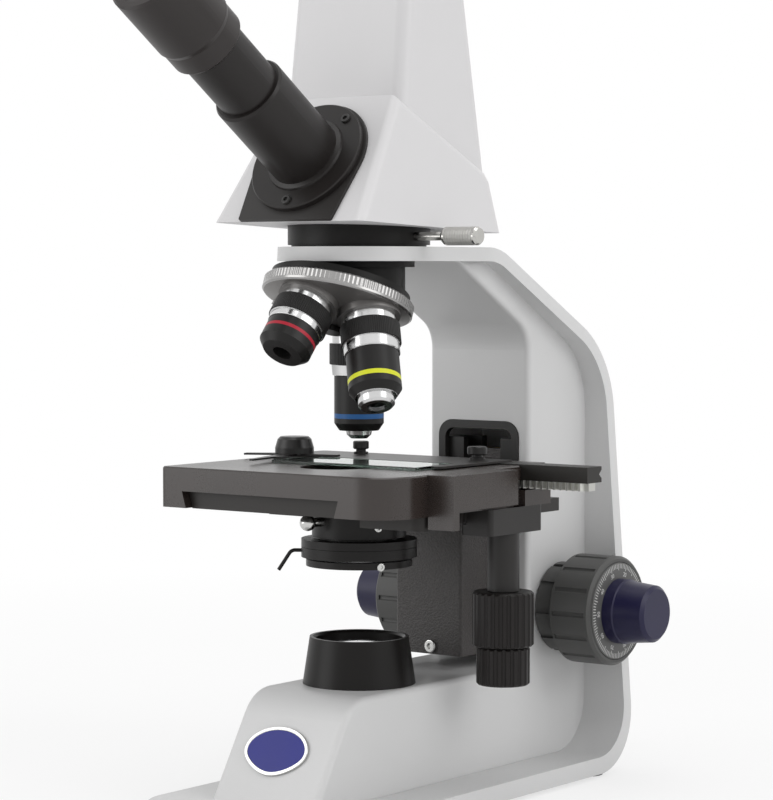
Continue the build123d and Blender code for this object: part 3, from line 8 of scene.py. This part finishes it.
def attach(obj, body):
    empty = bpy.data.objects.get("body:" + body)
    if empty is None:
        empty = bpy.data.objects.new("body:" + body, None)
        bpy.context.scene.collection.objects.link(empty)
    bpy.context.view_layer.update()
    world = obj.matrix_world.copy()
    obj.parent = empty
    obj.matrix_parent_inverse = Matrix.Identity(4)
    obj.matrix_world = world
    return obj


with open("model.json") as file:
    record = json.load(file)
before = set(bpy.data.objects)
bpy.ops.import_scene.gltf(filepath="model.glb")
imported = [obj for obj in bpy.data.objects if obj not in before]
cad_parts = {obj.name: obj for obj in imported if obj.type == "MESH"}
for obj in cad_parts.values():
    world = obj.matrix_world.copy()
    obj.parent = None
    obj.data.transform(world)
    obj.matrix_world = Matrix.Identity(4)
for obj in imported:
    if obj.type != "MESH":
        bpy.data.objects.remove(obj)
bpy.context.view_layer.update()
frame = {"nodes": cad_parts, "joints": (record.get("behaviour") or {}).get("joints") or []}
nodes = frame["nodes"]
joints = {j["name"]: j for j in frame["joints"]}
print("frame loaded,", len(nodes), "parts")

# directions, and the places that several pieces share
up = Vector((0, 0, 1))
across = Vector((1, 0, 0))
back = Vector((0, 1, 0))
axisX, axisY = joints["head_turn"]["pos_m"][:2]
shaftAt = Vector(joints["coarse_turn"]["pos_m"])
apex = Vector(joints["nosepiece_turn"]["pos_m"])
turretWay = Vector(joints["nosepiece_turn"]["axis"]).normalized()
eyeWay = Vector(joints["eyepiece_lift"]["axis"]).normalized()


def at(x, y, z):
    # millimetres from the optical axis and the table
    return Vector((axisX + x / 1000, axisY + y / 1000, z / 1000))


floorPoint = at(0, 0, 0)
eyeFace = at(0, -32.6, 271.9)


# camera, where the photograph was taken from: turn and dip in degrees, focal and sensor in
# millimetres, the rest in metres
cameraSetup = {
    "turn": 36.8, "dip": 2.757, "focal": 125.74, "sensor": 36,
    "pull": 1.1392, "aside": 0.0116, "height": 0.2273, "sees": 50,
}


def addCamera(c):
    turn = math.radians(c["turn"])
    right = Vector((math.cos(turn), math.sin(turn), 0))
    away = Vector((-math.sin(turn), math.cos(turn), 0))
    data = bpy.data.cameras.new("camera")
    data.sensor_fit = "HORIZONTAL"
    data.sensor_width = c["sensor"]
    data.lens = c["focal"]
    data.clip_end = c["sees"]
    cam = bpy.data.objects.new("camera", data)
    aim = Vector((axisX, axisY, c["height"]))
    cam.location = aim + right * c["aside"] - away * c["pull"]
    cam.rotation_euler = (math.radians(90 - c["dip"]), 0, turn)
    bpy.context.scene.collection.objects.link(cam)
    bpy.context.scene.camera = cam


addCamera(cameraSetup)
print("camera placed")


def tone(r, g, b):
    # a colour as seen on screen, 0 to 255, as linear light
    parts = [v / 255 for v in (r, g, b)]
    linear = [v / 12.92 if v <= 0.04045 else ((v + 0.055) / 1.055) ** 2.4 for v in parts]
    return (*linear, 1.0)


def shade(colour, share):
    # the same colour, lighter or darker
    return tuple(min(1, v * share) for v in colour[:3]) + (1,)


class Sock:
    # an output socket that takes part in plain sums
    def __init__(self, finish, socket):
        self.finish = finish
        self.socket = socket

    def __add__(self, other):
        return self.finish.maths("ADD", self, other)

    __radd__ = __add__

    def __sub__(self, other):
        return self.finish.maths("SUBTRACT", self, other)

    def __rsub__(self, other):
        return self.finish.maths("SUBTRACT", other, self)

    def __mul__(self, other):
        return self.finish.maths("MULTIPLY", self, other)

    __rmul__ = __mul__

    def __gt__(self, other):
        return self.finish.maths("GREATER_THAN", self, other)

    def __lt__(self, other):
        return self.finish.maths("LESS_THAN", self, other)


class Finish:
    # the nodes of one material, or of the world around the object
    def __init__(self, name, world=False):
        self.holder = (bpy.data.worlds if world else bpy.data.materials).new(name)
        self.outlet = "ShaderNodeOutputWorld" if world else "ShaderNodeOutputMaterial"
        self.holder.use_nodes = True
        self.tree = self.holder.node_tree
        self.tree.nodes.clear()
        self.place = None if world else self.node("ShaderNodeTexCoord", out="Object")

    def node(self, kind, settings=None, values=None, out=0):
        made = self.tree.nodes.new(kind)
        for key, value in (settings or {}).items():
            setattr(made, key, value)
        for key, value in (values or {}).items():
            if isinstance(value, Sock):
                self.tree.links.new(value.socket, made.inputs[key])
            else:
                made.inputs[key].default_value = value
        return Sock(self, made.outputs[out]) if made.outputs else None

    def maths(self, operation, *values):
        return self.node("ShaderNodeMath", {"operation": operation}, dict(enumerate(values)))

    def vector(self, operation, *values, out=0):
        settings = {"operation": operation}
        return self.node("ShaderNodeVectorMath", settings, dict(enumerate(values)), out)

    def noise(self, scale, detail=2.0, rough=0.5, place=None):
        return self.node("ShaderNodeTexNoise", {"normalize": True}, {
            "Vector": place or self.place, "Scale": scale, "Detail": detail, "Roughness": rough,
        })

    def grains(self, scale):
        values = {"Vector": self.place, "Scale": scale}
        return self.node("ShaderNodeTexVoronoi", {"feature": "F1"}, values)

    def mix(self, mask, first, second):
        # 6 and 7 are the colour sockets
        values = {0: mask, 6: first, 7: second}
        return self.node("ShaderNodeMix", {"data_type": "RGBA"}, values, out=2)

    def shades(self, mask, colour, shares):
        # one colour, from a darker to a lighter share of it
        darker, lighter = (shade(colour, share) for share in shares)
        return self.mix(mask, darker, lighter)

    def about(self, middle, *swings):
        # a number that swings evenly about its middle, by each mask's share
        total = middle - sum(share for mask, share in swings) / 2
        for mask, share in swings:
            total = mask * share + total
        return total

    def along(self, origin, way):
        # distance from a point, measured along a direction
        shifted = self.vector("SUBTRACT", self.place, tuple(origin))
        return self.vector("DOT_PRODUCT", shifted, tuple(way), out=1)

    def around(self, origin, way):
        # angle and distance from an axis
        seed = up if abs(way.z) < 0.9 else back
        first = seed.cross(way).normalized()
        second = way.cross(first).normalized()
        u = self.along(origin, first)
        v = self.along(origin, second)
        return self.maths("ARCTAN2", v, u), self.maths("SQRT", u * u + v * v)

    def band(self, value, low, high):
        return (value > low) * (value < high)

    def bump(self, height, distance):
        values = {"Height": height, "Distance": distance, "Strength": 1.0}
        return self.node("ShaderNodeBump", None, values)

    def surface(self, **values):
        named = {key.replace("_", " "): value for key, value in values.items()}
        return self.finished(self.node("ShaderNodeBsdfPrincipled", None, named))

    def finished(self, shader):
        self.node(self.outlet, None, {"Surface": shader})
        return self.holder


def dress(names, material):
    for name in names.split():
        for slot in nodes[name].material_slots:
            slot.material = material


def dressAll(parts, coat):
    for name, o in parts.items():
        look = {key: value for key, value in o.items() if key != "on"}
        dress(o["on"], coat(name, **look))


# sprayed enamel: an orange-peel grain and a slightly cloudy colour
paint = {"clouds": 14, "shades": (0.97, 1.03), "grain": 0.0012, "depth": 0.00003, "swing": 0.12}
paintedParts = {
    "standPaint": {"on": "stand", "colour": tone(206, 206, 206), "rough": 0.40},
    "headPaint": {"on": "head_housing", "colour": tone(209, 208, 209), "rough": 0.42},
}


def paintCoat(name, colour, rough):
    f = Finish(name)
    fine = f.noise(1 / paint["grain"], 3, 0.6)
    return f.surface(
        Base_Color=f.shades(f.noise(paint["clouds"], 3), colour, paint["shades"]),
        Roughness=f.about(rough, (fine, paint["swing"])),
        Specular_IOR_Level=0.5,
        Normal=f.bump(fine, paint["depth"]),
    )


dressAll(paintedParts, paintCoat)


# enamel on the carriage that dried in small wrinkles, with painted shade in the hollows and a
# painted highlight on the crests
wrinkle = {
    "colour": tone(58, 55, 54), "shades": (0.6, 1.35), "rough": 0.5, "swing": 0.2,
    "size": 0.0009, "finer": 1.6, "cells": 0.7, "ripple": 0.5, "depth": 0.00025,
}


def wrinkleCoat(o):
    f = Finish("carriageWrinkle")
    fine = f.noise(o["finer"] / o["size"])
    height = f.grains(1 / o["size"]) * o["cells"] + fine * o["ripple"]
    return f.surface(
        # the colour follows the wrinkles' height: painted shade in the hollows, painted highlight
        # on the crests
        Base_Color=f.shades(height, o["colour"], o["shades"]),
        Roughness=f.about(o["rough"], (fine, o["swing"])),
        Normal=f.bump(height, o["depth"]),
    )


dress("carriage", wrinkleCoat(wrinkle))


# satin parts: moulded plastic, anodised metal, rubber and boards, each with its colour and
# roughness, and with its own shine or grain where they differ from the usual
satin = {
    "clouds": 25, "shades": (0.82, 1.2), "cloudSwing": 0.12,
    "grain": 0.0006, "depth": 0.000012, "grainSwing": 0.08, "shine": 0.35,
}
satinParts = {
    "linerBlack": {"on": "slot_liner guide_rail", "colour": tone(30, 29, 28), "rough": 0.45},
    "collarBlack": {"on": "lamp_collar", "colour": tone(18, 16, 15), "rough": 0.36, "shine": 0.2},
    "panelBlack": {"on": "front_panel", "colour": tone(40, 38, 37), "rough": 0.42},
    "tubeBlack": {"on": "eyepiece_tube", "colour": tone(30, 27, 26), "rough": 0.36, "shine": 0.3},
    "eyepieceBlack": {"on": "eyepiece_body", "colour": tone(42, 38, 37), "rough": 0.34},
    "ringBlack": {
        "on": "head_ring head_base nosepiece_mount",
        "colour": tone(14, 13, 12), "rough": 0.4, "shine": 0.2,
    },
    "stageBrownBlack": {
        "on": "upper_plate",
        "colour": tone(44, 37, 34), "rough": 0.28, "shine": 0.6, "grain": 0.0004, "depth": 0.00001,
    },
    "bracketBlack": {
        "on": "lower_plate stage_bracket", "colour": tone(34, 31, 29), "rough": 0.45,
    },
    "housingBlack": {"on": "knob_housing", "colour": tone(32, 30, 29), "rough": 0.42},
    "driveKnobBlack": {
        "on": "y_knob x_knob", "colour": tone(26, 23, 22), "rough": 0.42, "shine": 0.25,
    },
    "barBlack": {"on": "x_bar", "colour": tone(34, 32, 30), "rough": 0.40},
    "holderBlack": {"on": "slide_holder clip_finger", "colour": tone(36, 34, 33), "rough": 0.35},
    "smallBlack": {"on": "holder_screws finger_cap", "colour": tone(28, 27, 26), "rough": 0.34},
    "condenserBlack": {
        "on": "condenser_sleeve condenser_body iris_lever filter_holder",
        "colour": tone(20, 18, 17), "rough": 0.34, "shine": 0.25,
    },
    "footRubber": {
        "on": "feet", "colour": tone(35, 35, 35), "rough": 0.75, "grain": 0.001, "depth": 0.00004,
    },
    "fittingBlack": {
        "on": "power_inlet power_switch switch_body dimmer_knob",
        "colour": tone(42, 42, 42), "rough": 0.45,
    },
    "coarseGrey": {
        "on": "coarse_knob_right coarse_knob_left tension_ring",
        "colour": tone(78, 78, 77), "rough": 0.46, "shine": 0.3,
    },
    "fineNavy": {
        "on": "fine_knob_right fine_knob_left", "colour": tone(26, 24, 56), "rough": 0.36,
    },
    "boardGreen": {
        "on": "led_board power_board camera_board", "colour": tone(25, 95, 55), "rough": 0.4,
    },
}


def satinCoat(name, colour, rough, **own):
    o = satin | own
    f = Finish(name)
    cloudy = f.noise(o["clouds"], 3)
    fine = f.noise(1 / o["grain"], 3, 0.6)
    return f.surface(
        Base_Color=f.shades(cloudy, colour, o["shades"]),
        Roughness=f.about(rough, (cloudy, o["cloudSwing"]), (fine, o["grainSwing"])),
        Specular_IOR_Level=o["shine"],
        Normal=f.bump(fine, o["depth"]),
    )


dressAll(satinParts, satinCoat)


# bright metal parts: fine lathe marks run round a line
turned = {
    "clouds": 30, "shades": (0.9, 1), "cloudSwing": 0.06,
    "groove": 0.00025, "depth": 0.000008, "grooveSwing": 0.14,
}
metalParts = {
    "clampChrome": {
        "on": "condenser_clamp", "colour": tone(210, 210, 208), "rough": 0.18,
        "origin": floorPoint, "way": up,
    },
    "shaftSteel": {
        "on": "coarse_shaft fine_shaft", "colour": tone(180, 180, 180), "rough": 0.3,
        "origin": shaftAt, "way": across,
    },
    "brass": {
        "on": "rack shaft_bushes", "colour": tone(205, 170, 100), "rough": 0.3,
        "origin": shaftAt, "way": across,
    },
    "rackSteel": {
        "on": "x_rack", "colour": tone(205, 205, 200), "rough": 0.35,
        "origin": floorPoint, "way": across,
    },
    "sheetSteel": {
        "on": "bottom_plate usb_socket", "colour": tone(170, 170, 170), "rough": 0.4,
        "origin": floorPoint, "way": back,
    },
}


def turnedMetal(name, colour, rough, origin, way):
    f = Finish(name)
    rings = f.node("ShaderNodeCombineXYZ", None, {"X": f.along(origin, way)})
    marks = f.noise(1 / turned["groove"], place=rings)
    cloudy = f.noise(turned["clouds"])
    return f.surface(
        Base_Color=f.shades(cloudy, colour, turned["shades"]),
        Metallic=1.0,
        Roughness=f.about(rough, (marks, turned["grooveSwing"]), (cloudy, turned["cloudSwing"])),
        Normal=f.bump(marks, turned["depth"]),
    )


dressAll(metalParts, turnedMetal)


# glass: a little dust shows in the roughness
glass = {"dust": 220, "dustRough": 0.03, "ior": 1.5}
glassParts = {
    "slideGlass": {"on": "slide_glass", "colour": tone(196, 220, 208)},
    "collectorGlass": {"on": "collector_lens", "colour": tone(238, 240, 240), "rough": 0.05},
    "lensGlass": {
        "on": "condenser_lens objective_lenses prism", "colour": tone(235, 240, 242),
    },
    "eyeGlass": {"on": "eye_lens", "colour": tone(240, 205, 200)},
}


def clearGlass(name, colour, rough=0.02):
    f = Finish(name)
    return f.surface(
        Base_Color=colour,
        Roughness=f.noise(glass["dust"], 3) * glass["dustRough"] + rough,
        Transmission_Weight=1.0,
        IOR=glass["ior"],
    )


dressAll(glassParts, clearGlass)
print("plain finishes done")


# dial of the fine drive: engraved divisions, every tenth one numbered
dial = {
    "divisions": 100, "longMarks": 20, "outer": 0.0210, "shortIn": 0.0189, "longIn": 0.0181,
    "line": 0.00016, "depth": 0.0001, "grey": (tone(80, 80, 79), tone(92, 92, 91)),
    "rough": 0.45, "swing": 0.1, "ink": tone(214, 214, 212), "inkRough": 0.5,
    "numbers": 10, "numberAt": 0.0164, "numberSize": 0.0027, "numberHeight": 0.00003,
    "face": 0.0591,
}


def dialFinish(d):
    f = Finish("dialFinish")
    angle, radius = f.around(shaftAt, across)
    turn = angle * (1 / (2 * math.pi)) + 1.0

    def lines(count, inner):
        part = f.maths("FRACT", turn * count + 0.5)
        gap = f.maths("ABSOLUTE", part - 0.5) * radius * (2 * math.pi / count)
        return (gap < d["line"]) * f.band(radius, inner, d["outer"])

    short = lines(d["divisions"], d["shortIn"])
    marks = f.maths("MAXIMUM", short, lines(d["longMarks"], d["longIn"]))
    fine = f.noise(1400)
    return f.surface(
        Base_Color=f.mix(marks, f.mix(f.noise(40, 3), *d["grey"]), d["ink"]),
        Roughness=f.about(d["rough"], (fine, d["swing"])),
        Normal=f.bump(fine * 0.1 - marks * 0.3, d["depth"]),
    )


def addNumbers(d):
    ink = satinCoat("dialInk", d["ink"], d["inkRough"])
    for k in range(d["numbers"]):
        text = bpy.data.curves.new("number", "FONT")
        text.body = str(k * d["divisions"] // d["numbers"])
        text.size = d["numberSize"]
        text.align_x = "CENTER"
        text.align_y = "CENTER"
        text.extrude = d["numberHeight"]
        flat = bpy.data.objects.new("number", text)
        bpy.context.scene.collection.objects.link(flat)
        bpy.context.view_layer.update()
        shown = flat.evaluated_get(bpy.context.evaluated_depsgraph_get())
        mesh = bpy.data.meshes.new_from_object(shown)
        bpy.data.objects.remove(flat)
        turn = 2 * math.pi * k / d["numbers"]
        away = Vector((0, math.cos(turn), math.sin(turn)))
        spot = Vector((axisX + d["face"], shaftAt.y, shaftAt.z)) + away * d["numberAt"]
        # numbers stand with their tops outwards and face to the right
        side = away.cross(across)
        mesh.transform(Matrix((side, away, across)).transposed().to_4x4())
        mesh.transform(Matrix.Translation(spot))
        mesh.materials.clear()
        mesh.materials.append(ink)
        piece = bpy.data.objects.new("dial_number_" + str(k), mesh)
        bpy.context.scene.collection.objects.link(piece)
        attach(piece, "fine")


dress("fine_dial", dialFinish(dial))
addNumbers(dial)
print("dial done")


# nosepiece turret: chrome rim with fine ribs, satin face
turretLook = {
    "rimFrom": 0.0312, "ribsTo": 0.0432, "ribs": 110, "depth": 0.00018,
    "face": (tone(104, 102, 101), tone(128, 126, 124)),
    "chrome": (tone(140, 139, 138), tone(168, 167, 166)),
}


def turretFinish(o):
    f = Finish("turretFinish")
    s = f.along(apex, turretWay)
    angle, radius = f.around(apex, turretWay)
    rim = radius > o["rimFrom"]
    ribs = f.maths("SINE", angle * o["ribs"]) * rim * (s < o["ribsTo"])
    cloudy = f.noise(45, 3)
    return f.surface(
        Base_Color=f.mix(rim, f.mix(cloudy, *o["face"]), f.mix(cloudy, *o["chrome"])),
        Metallic=rim * 0.25 + 0.75,
        Roughness=0.34 - rim * 0.18 + cloudy * 0.08,
        Normal=f.bump(ribs * 0.5 + cloudy * 0.05, o["depth"]),
    )


dress("turret", turretFinish(turretLook))


# objectives: black barrels with chrome steps, a knurled grip and one coloured ring each,
# measured from the seat in the port
barrel = {
    "seat": 0.0543, "ribs": 90, "depth": 0.00015, "ringOutside": 0.009,
    "black": (tone(20, 19, 19), tone(30, 29, 28)),
    "chrome": (tone(196, 196, 196), tone(222, 222, 222)),
}
objectives = {
    "objective_40x": {
        "port": 0, "grip": (0.0042, 0.0132), "steps": ((-0.001, 0.0042), (0.0132, 0.0179)),
        "tip": 0.0408, "ring": (0.0338, 0.0358), "colour": tone(38, 92, 150),
    },
    "objective_10x": {
        "port": 90, "grip": (0.0040, 0.0122), "steps": ((-0.001, 0.0040), (0.0122, 0.0169)),
        "tip": 0.0357, "ring": (0.0278, 0.0298), "colour": tone(212, 216, 48),
    },
    "objective_4x": {
        "port": 180, "grip": (0.0034, 0.0112), "steps": ((-0.001, 0.0034), (0.0112, 0.0142)),
        "tip": 0.0300, "ring": (0.0178, 0.0193), "colour": tone(170, 35, 52),
    },
}


def barrelFinish(name, o, b):
    way = Matrix.Rotation(math.radians(o["port"]), 3, turretWay) @ -up
    f = Finish(name + "Finish")
    s = f.along(apex + way * b["seat"], way)
    angle, radius = f.around(apex, way)
    bright = f.band(s, *o["steps"][0]) + f.band(s, *o["steps"][1]) + (s > o["tip"])
    grip = f.band(s, *o["grip"])
    ring = f.band(s, *o["ring"]) * (radius > b["ringOutside"])
    ribs = f.maths("SINE", angle * b["ribs"]) * grip
    fine = f.noise(1500)
    black = f.mix(f.noise(40, 3), *b["black"])
    chrome = f.mix(f.noise(60), *b["chrome"])
    return f.surface(
        Base_Color=f.mix(ring, f.mix(bright, black, chrome), o["colour"]),
        Metallic=bright,
        Specular_IOR_Level=0.25,
        Roughness=0.34 - bright * 0.2 + grip * 0.14 + fine * 0.05,
        Normal=f.bump(ribs * 0.5 + fine * 0.04, b["depth"]),
    )


for name, o in objectives.items():
    dress(name, barrelFinish(name, o, barrel))


# lock screw of the head: crossed knurls on the grip, turned shank
lockLook = {
    "middle": at(0, 0, 241.2), "grip": (0.0462, 0.0602), "gripOutside": 0.0030,
    "knurls": 22, "twist": 2400, "depth": 0.0002,
    "metal": (tone(178, 177, 173), tone(208, 207, 203)),
}


def lockFinish(o):
    f = Finish("lockFinish")
    s = f.along(o["middle"], across)
    angle, radius = f.around(o["middle"], across)
    grip = f.band(s, *o["grip"]) * (radius > o["gripOutside"])
    twist = s * o["twist"]
    left = f.maths("SINE", angle * o["knurls"] + twist)
    right = f.maths("SINE", angle * o["knurls"] - twist)
    cloudy = f.noise(60)
    return f.surface(
        Base_Color=f.mix(cloudy, *o["metal"]),
        Metallic=1.0,
        Roughness=grip * 0.1 + cloudy * 0.08 + 0.16,
        Normal=f.bump(left * right * grip * 0.5 + cloudy * 0.03, o["depth"]),
    )


dress("lock_screw", lockFinish(lockLook))
print("turret, objectives and lock screw done")


def addPiece(name, bm, materials, body):
    bmesh.ops.recalc_face_normals(bm, faces=bm.faces[:])
    mesh = bpy.data.meshes.new(name)
    bm.to_mesh(mesh)
    bm.free()
    for material in materials:
        mesh.materials.append(material)
    piece = bpy.data.objects.new(name, mesh)
    bpy.context.scene.collection.objects.link(piece)
    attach(piece, body)


def soften(bm, edges, offset, segments):
    bmesh.ops.bevel(
        bm, geom=edges, offset=offset, segments=segments, profile=0.5, material=-1, affect="EDGES"
    )


def raised(bm, faces, move):
    # extrudes the faces, moves the new ones and returns them
    grown = bmesh.ops.extrude_face_region(bm, geom=faces)
    top = [f for f in grown["geom"] if isinstance(f, bmesh.types.BMFace)]
    bmesh.ops.translate(bm, verts=[v for f in top for v in f.verts], vec=move)
    return top


# socket screws: round head, soft rim, six-sided socket, all as shares of the radius
screwShape = {"sides": 24, "height": 0.45, "soft": 0.16, "rim": 0.3, "flat": 0.46, "deep": 0.35}
brightScrew = turnedMetal("screwChrome", tone(205, 205, 203), 0.24, floorPoint, up)
darkScrew = satinCoat("screwBlack", tone(46, 45, 44), 0.3)
screws = {
    "carriage_screw": {
        "spot": at(1.5, 50, 62.5), "way": (0, -1, 0), "radius": 0.0029,
        "body": "lift", "slot": "chrome", "finish": brightScrew,
    },
    "sleeve_screw": {
        "spot": at(17.3, -9.8, 119.9), "way": (0.871, -0.491, 0), "radius": 0.0018,
        "body": "lift", "slot": "chrome", "finish": brightScrew,
    },
    "filter_screw": {
        "spot": at(19.6, -11.0, 103.7), "way": (0.871, -0.491, 0), "radius": 0.0017,
        "body": "filter", "slot": "chrome", "finish": brightScrew,
    },
}

# three more on the flange of the eyepiece tube
flange = {"face": 0.0041, "circle": 0.0223, "turns": (-90, 54, 126), "radius": 0.0021}
flangeUp = eyeWay.cross(across).normalized()
for k, turn in enumerate(math.radians(degrees) for degrees in flange["turns"]):
    away = across * math.cos(turn) + flangeUp * math.sin(turn)
    screws["flange_screw_" + str(k)] = {
        "spot": eyeFace + eyeWay * flange["face"] + away * flange["circle"], "way": eyeWay,
        "radius": flange["radius"], "body": "head", "slot": "black_metal", "finish": darkScrew,
    }


def addScrew(name, o, shape):
    r = o["radius"]
    bm = bmesh.new()
    bmesh.ops.create_circle(bm, cap_ends=True, segments=shape["sides"], radius=r)
    top = raised(bm, bm.faces[:], (0, 0, r * shape["height"]))
    soften(bm, [e for f in top for e in f.edges], r * shape["soft"], 3)
    cap = max(bm.faces, key=lambda f: f.calc_center_median().z)
    bmesh.ops.inset_region(bm, faces=[cap], thickness=r * shape["rim"], use_even_offset=True)
    for v in cap.verts:
        # the inner loop becomes a hexagon
        turn = math.atan2(v.co.y, v.co.x) % (math.pi / 3) - math.pi / 6
        v.co.xy = v.co.xy.normalized() * (r * shape["flat"] / math.cos(turn))
    raised(bm, [cap], (0, 0, -r * shape["deep"]))
    bmesh.ops.delete(bm, geom=[cap], context="FACES_ONLY")
    # +Z turns to the way of the screw
    aimed = Vector(o["way"]).to_track_quat("Z", "Y").to_matrix().to_4x4()
    bmesh.ops.transform(bm, matrix=Matrix.Translation(o["spot"]) @ aimed, verts=bm.verts[:])
    addPiece(name, bm, [o["finish"]], o["body"])


for name, o in screws.items():
    addScrew(name, o, screwShape)


# plain badge on the sloping front of the base: enamel in a bright rim, with nothing on it
badge = {
    "spot": at(-2, -53.1, 30.2), "way": Vector((0, -0.8524, 0.5229)), "half": (0.0163, 0.0108),
    "sides": 64, "height": 0.0009, "rim": 0.0011, "soft": 0.0003, "step": 0.0002, "narrowing": 0.22,
    "enamel": {"colour": tone(20, 27, 122), "rough": 0.2, "depth": 0.000004, "shine": 0.25},
}


def addBadge(o):
    bm = bmesh.new()
    bmesh.ops.create_circle(bm, cap_ends=True, segments=o["sides"], radius=1)
    bmesh.ops.scale(bm, vec=(*o["half"], 1), verts=bm.verts[:])
    for v in bm.verts:
        # the lower half narrows a little
        if v.co.y < 0:
            v.co.x *= 1 - o["narrowing"] * (v.co.y / o["half"][1]) ** 2
    top = raised(bm, bm.faces[:], (0, 0, o["height"]))
    soften(bm, [e for f in top for e in f.edges], o["soft"], 3)
    cap = max(bm.faces, key=lambda f: (f.calc_center_median().z, f.calc_area()))
    bmesh.ops.inset_region(bm, faces=[cap], thickness=o["rim"])
    bmesh.ops.inset_region(bm, faces=[cap], thickness=o["step"], depth=-o["step"])
    cap.material_index = 1
    aimed = Matrix((across, o["way"].cross(across), o["way"])).transposed().to_4x4()
    bmesh.ops.transform(bm, matrix=Matrix.Translation(o["spot"]) @ aimed, verts=bm.verts[:])
    enamel = satinCoat("badgeEnamel", **o["enamel"])
    addPiece("base_badge", bm, [brightScrew, enamel], "stand_body")


addBadge(badge)


# thin fairing under the rear edge of the tower, down to the foot of the head, in millimetres
fairing = {"half": 30.5, "corners": ((49.3, 243.4), (50.3, 260.4), (45.8, 260.4)), "soft": 0.6}


def addFairing(o):
    bm = bmesh.new()
    end = [bm.verts.new(at(-o["half"], y, z)) for y, z in o["corners"]]
    raised(bm, [bm.faces.new(end)], across * (2 * o["half"] / 1000))
    soften(bm, bm.edges[:], o["soft"] / 1000, 2)
    coat = nodes["head_housing"].material_slots[0].material
    addPiece("head_fairing", bm, [coat], "head")


addFairing(fairing)


# filler strip inside the rear heel of the stand, under the supply socket, in millimetres
# and degrees
filler = {
    "half": 20.6, "centre": (111.5, 31), "inner": 27.2, "outer": 28.97,
    "from": 33, "to": 46, "steps": 8,
}


def addFiller(o):
    y, z = o["centre"]
    start = math.radians(o["from"])
    bm = bmesh.new()
    loop = []
    for side, radius in ((-1, "inner"), (1, "inner"), (1, "outer"), (-1, "outer")):
        r = o[radius]
        spot = at(side * o["half"], y + r * math.cos(start), z - r * math.sin(start))
        loop.append(bm.verts.new(spot))
    face = bm.faces.new(loop)
    bmesh.ops.spin(
        bm, geom=[face] + face.edges[:] + face.verts[:], cent=at(0, y, z), axis=across,
        angle=math.radians(o["from"] - o["to"]), steps=o["steps"], use_duplicate=False
    )
    coat = nodes["stand"].material_slots[0].material
    addPiece("heel_filler", bm, [coat], "stand_body")


addFiller(filler)
print("small fittings done")


# floor and light
studio = {
    "floorSize": 6.0, "floorSides": 64, "paper": (tone(236, 236, 236), tone(242, 242, 242)),
    "white": (1, 1, 1, 1), "nearGlow": 0.7, "fadeRate": 1.6, "fadeShift": 0.45, "skyLevel": 0.66,
    "aim": Vector((0, 0, 0.2)),
}
lamps = {
    "keyRight": {"spot": Vector((1.6, 0.1, 1.1)), "size": (1.2, 1.2), "watts": 9.5},
    "fillLeft": {"spot": Vector((-1.1, -1.4, 0.7)), "size": (1.1, 1.4), "watts": 10},
    "top": {"spot": Vector((0.1, 0.0, 1.6)), "size": (1.0, 1.0), "watts": 6},
}


def addFloor(s):
    mesh = bpy.data.meshes.new("floor")
    bm = bmesh.new()
    bmesh.ops.create_circle(bm, cap_ends=True, segments=s["floorSides"], radius=s["floorSize"])
    bm.to_mesh(mesh)
    bm.free()
    floor = bpy.data.objects.new("floor", mesh)
    bpy.context.scene.collection.objects.link(floor)
    f = Finish("floorPaper")
    matt = f.node("ShaderNodeBsdfDiffuse", None, {"Color": f.mix(f.noise(3), *s["paper"])})
    glow = f.node("ShaderNodeEmission", None, {"Color": s["white"], "Strength": 1.0})
    seen = f.node("ShaderNodeLightPath", out="Is Camera Ray")
    # far from the object the paper fades into the white behind it
    distance = f.vector("LENGTH", f.place, out=1)
    fade = f.maths("MAXIMUM", distance * s["fadeRate"] - s["fadeShift"], 0.0)
    fade = f.maths("MINIMUM", fade, 1.0)
    share = seen * (fade * (1 - s["nearGlow"]) + s["nearGlow"])
    mixed = f.node("ShaderNodeMixShader", None, {0: share, 1: matt, 2: glow})
    mesh.materials.append(f.finished(mixed))


def addSky(s):
    # dim where it lights the object, white behind it and in its glass and metal
    f = Finish("studio", world=True)
    white = 0.0
    for ray in ("Is Camera Ray", "Is Transmission Ray", "Is Glossy Ray"):
        white = f.maths("MAXIMUM", white, f.node("ShaderNodeLightPath", out=ray))
    dim = f.node("ShaderNodeBackground", None, {"Color": s["white"], "Strength": s["skyLevel"]})
    plain = f.node("ShaderNodeBackground", None, {"Color": s["white"], "Strength": 1.0})
    mixed = f.node("ShaderNodeMixShader", None, {0: white, 1: dim, 2: plain})
    bpy.context.scene.world = f.finished(mixed)


def addLamp(name, o, aim):
    data = bpy.data.lights.new(name, "AREA")
    data.shape = "RECTANGLE"
    data.size, data.size_y = o["size"]
    data.energy = o["watts"]
    lamp = bpy.data.objects.new(name, data)
    lamp.location = o["spot"]
    lamp.rotation_euler = (aim - o["spot"]).to_track_quat("-Z", "Y").to_euler()
    bpy.context.scene.collection.objects.link(lamp)


addFloor(studio)
addSky(studio)
for name, o in lamps.items():
    addLamp(name, o, studio["aim"])
bpy.context.scene.view_settings.view_transform = "Standard"
print("studio done")
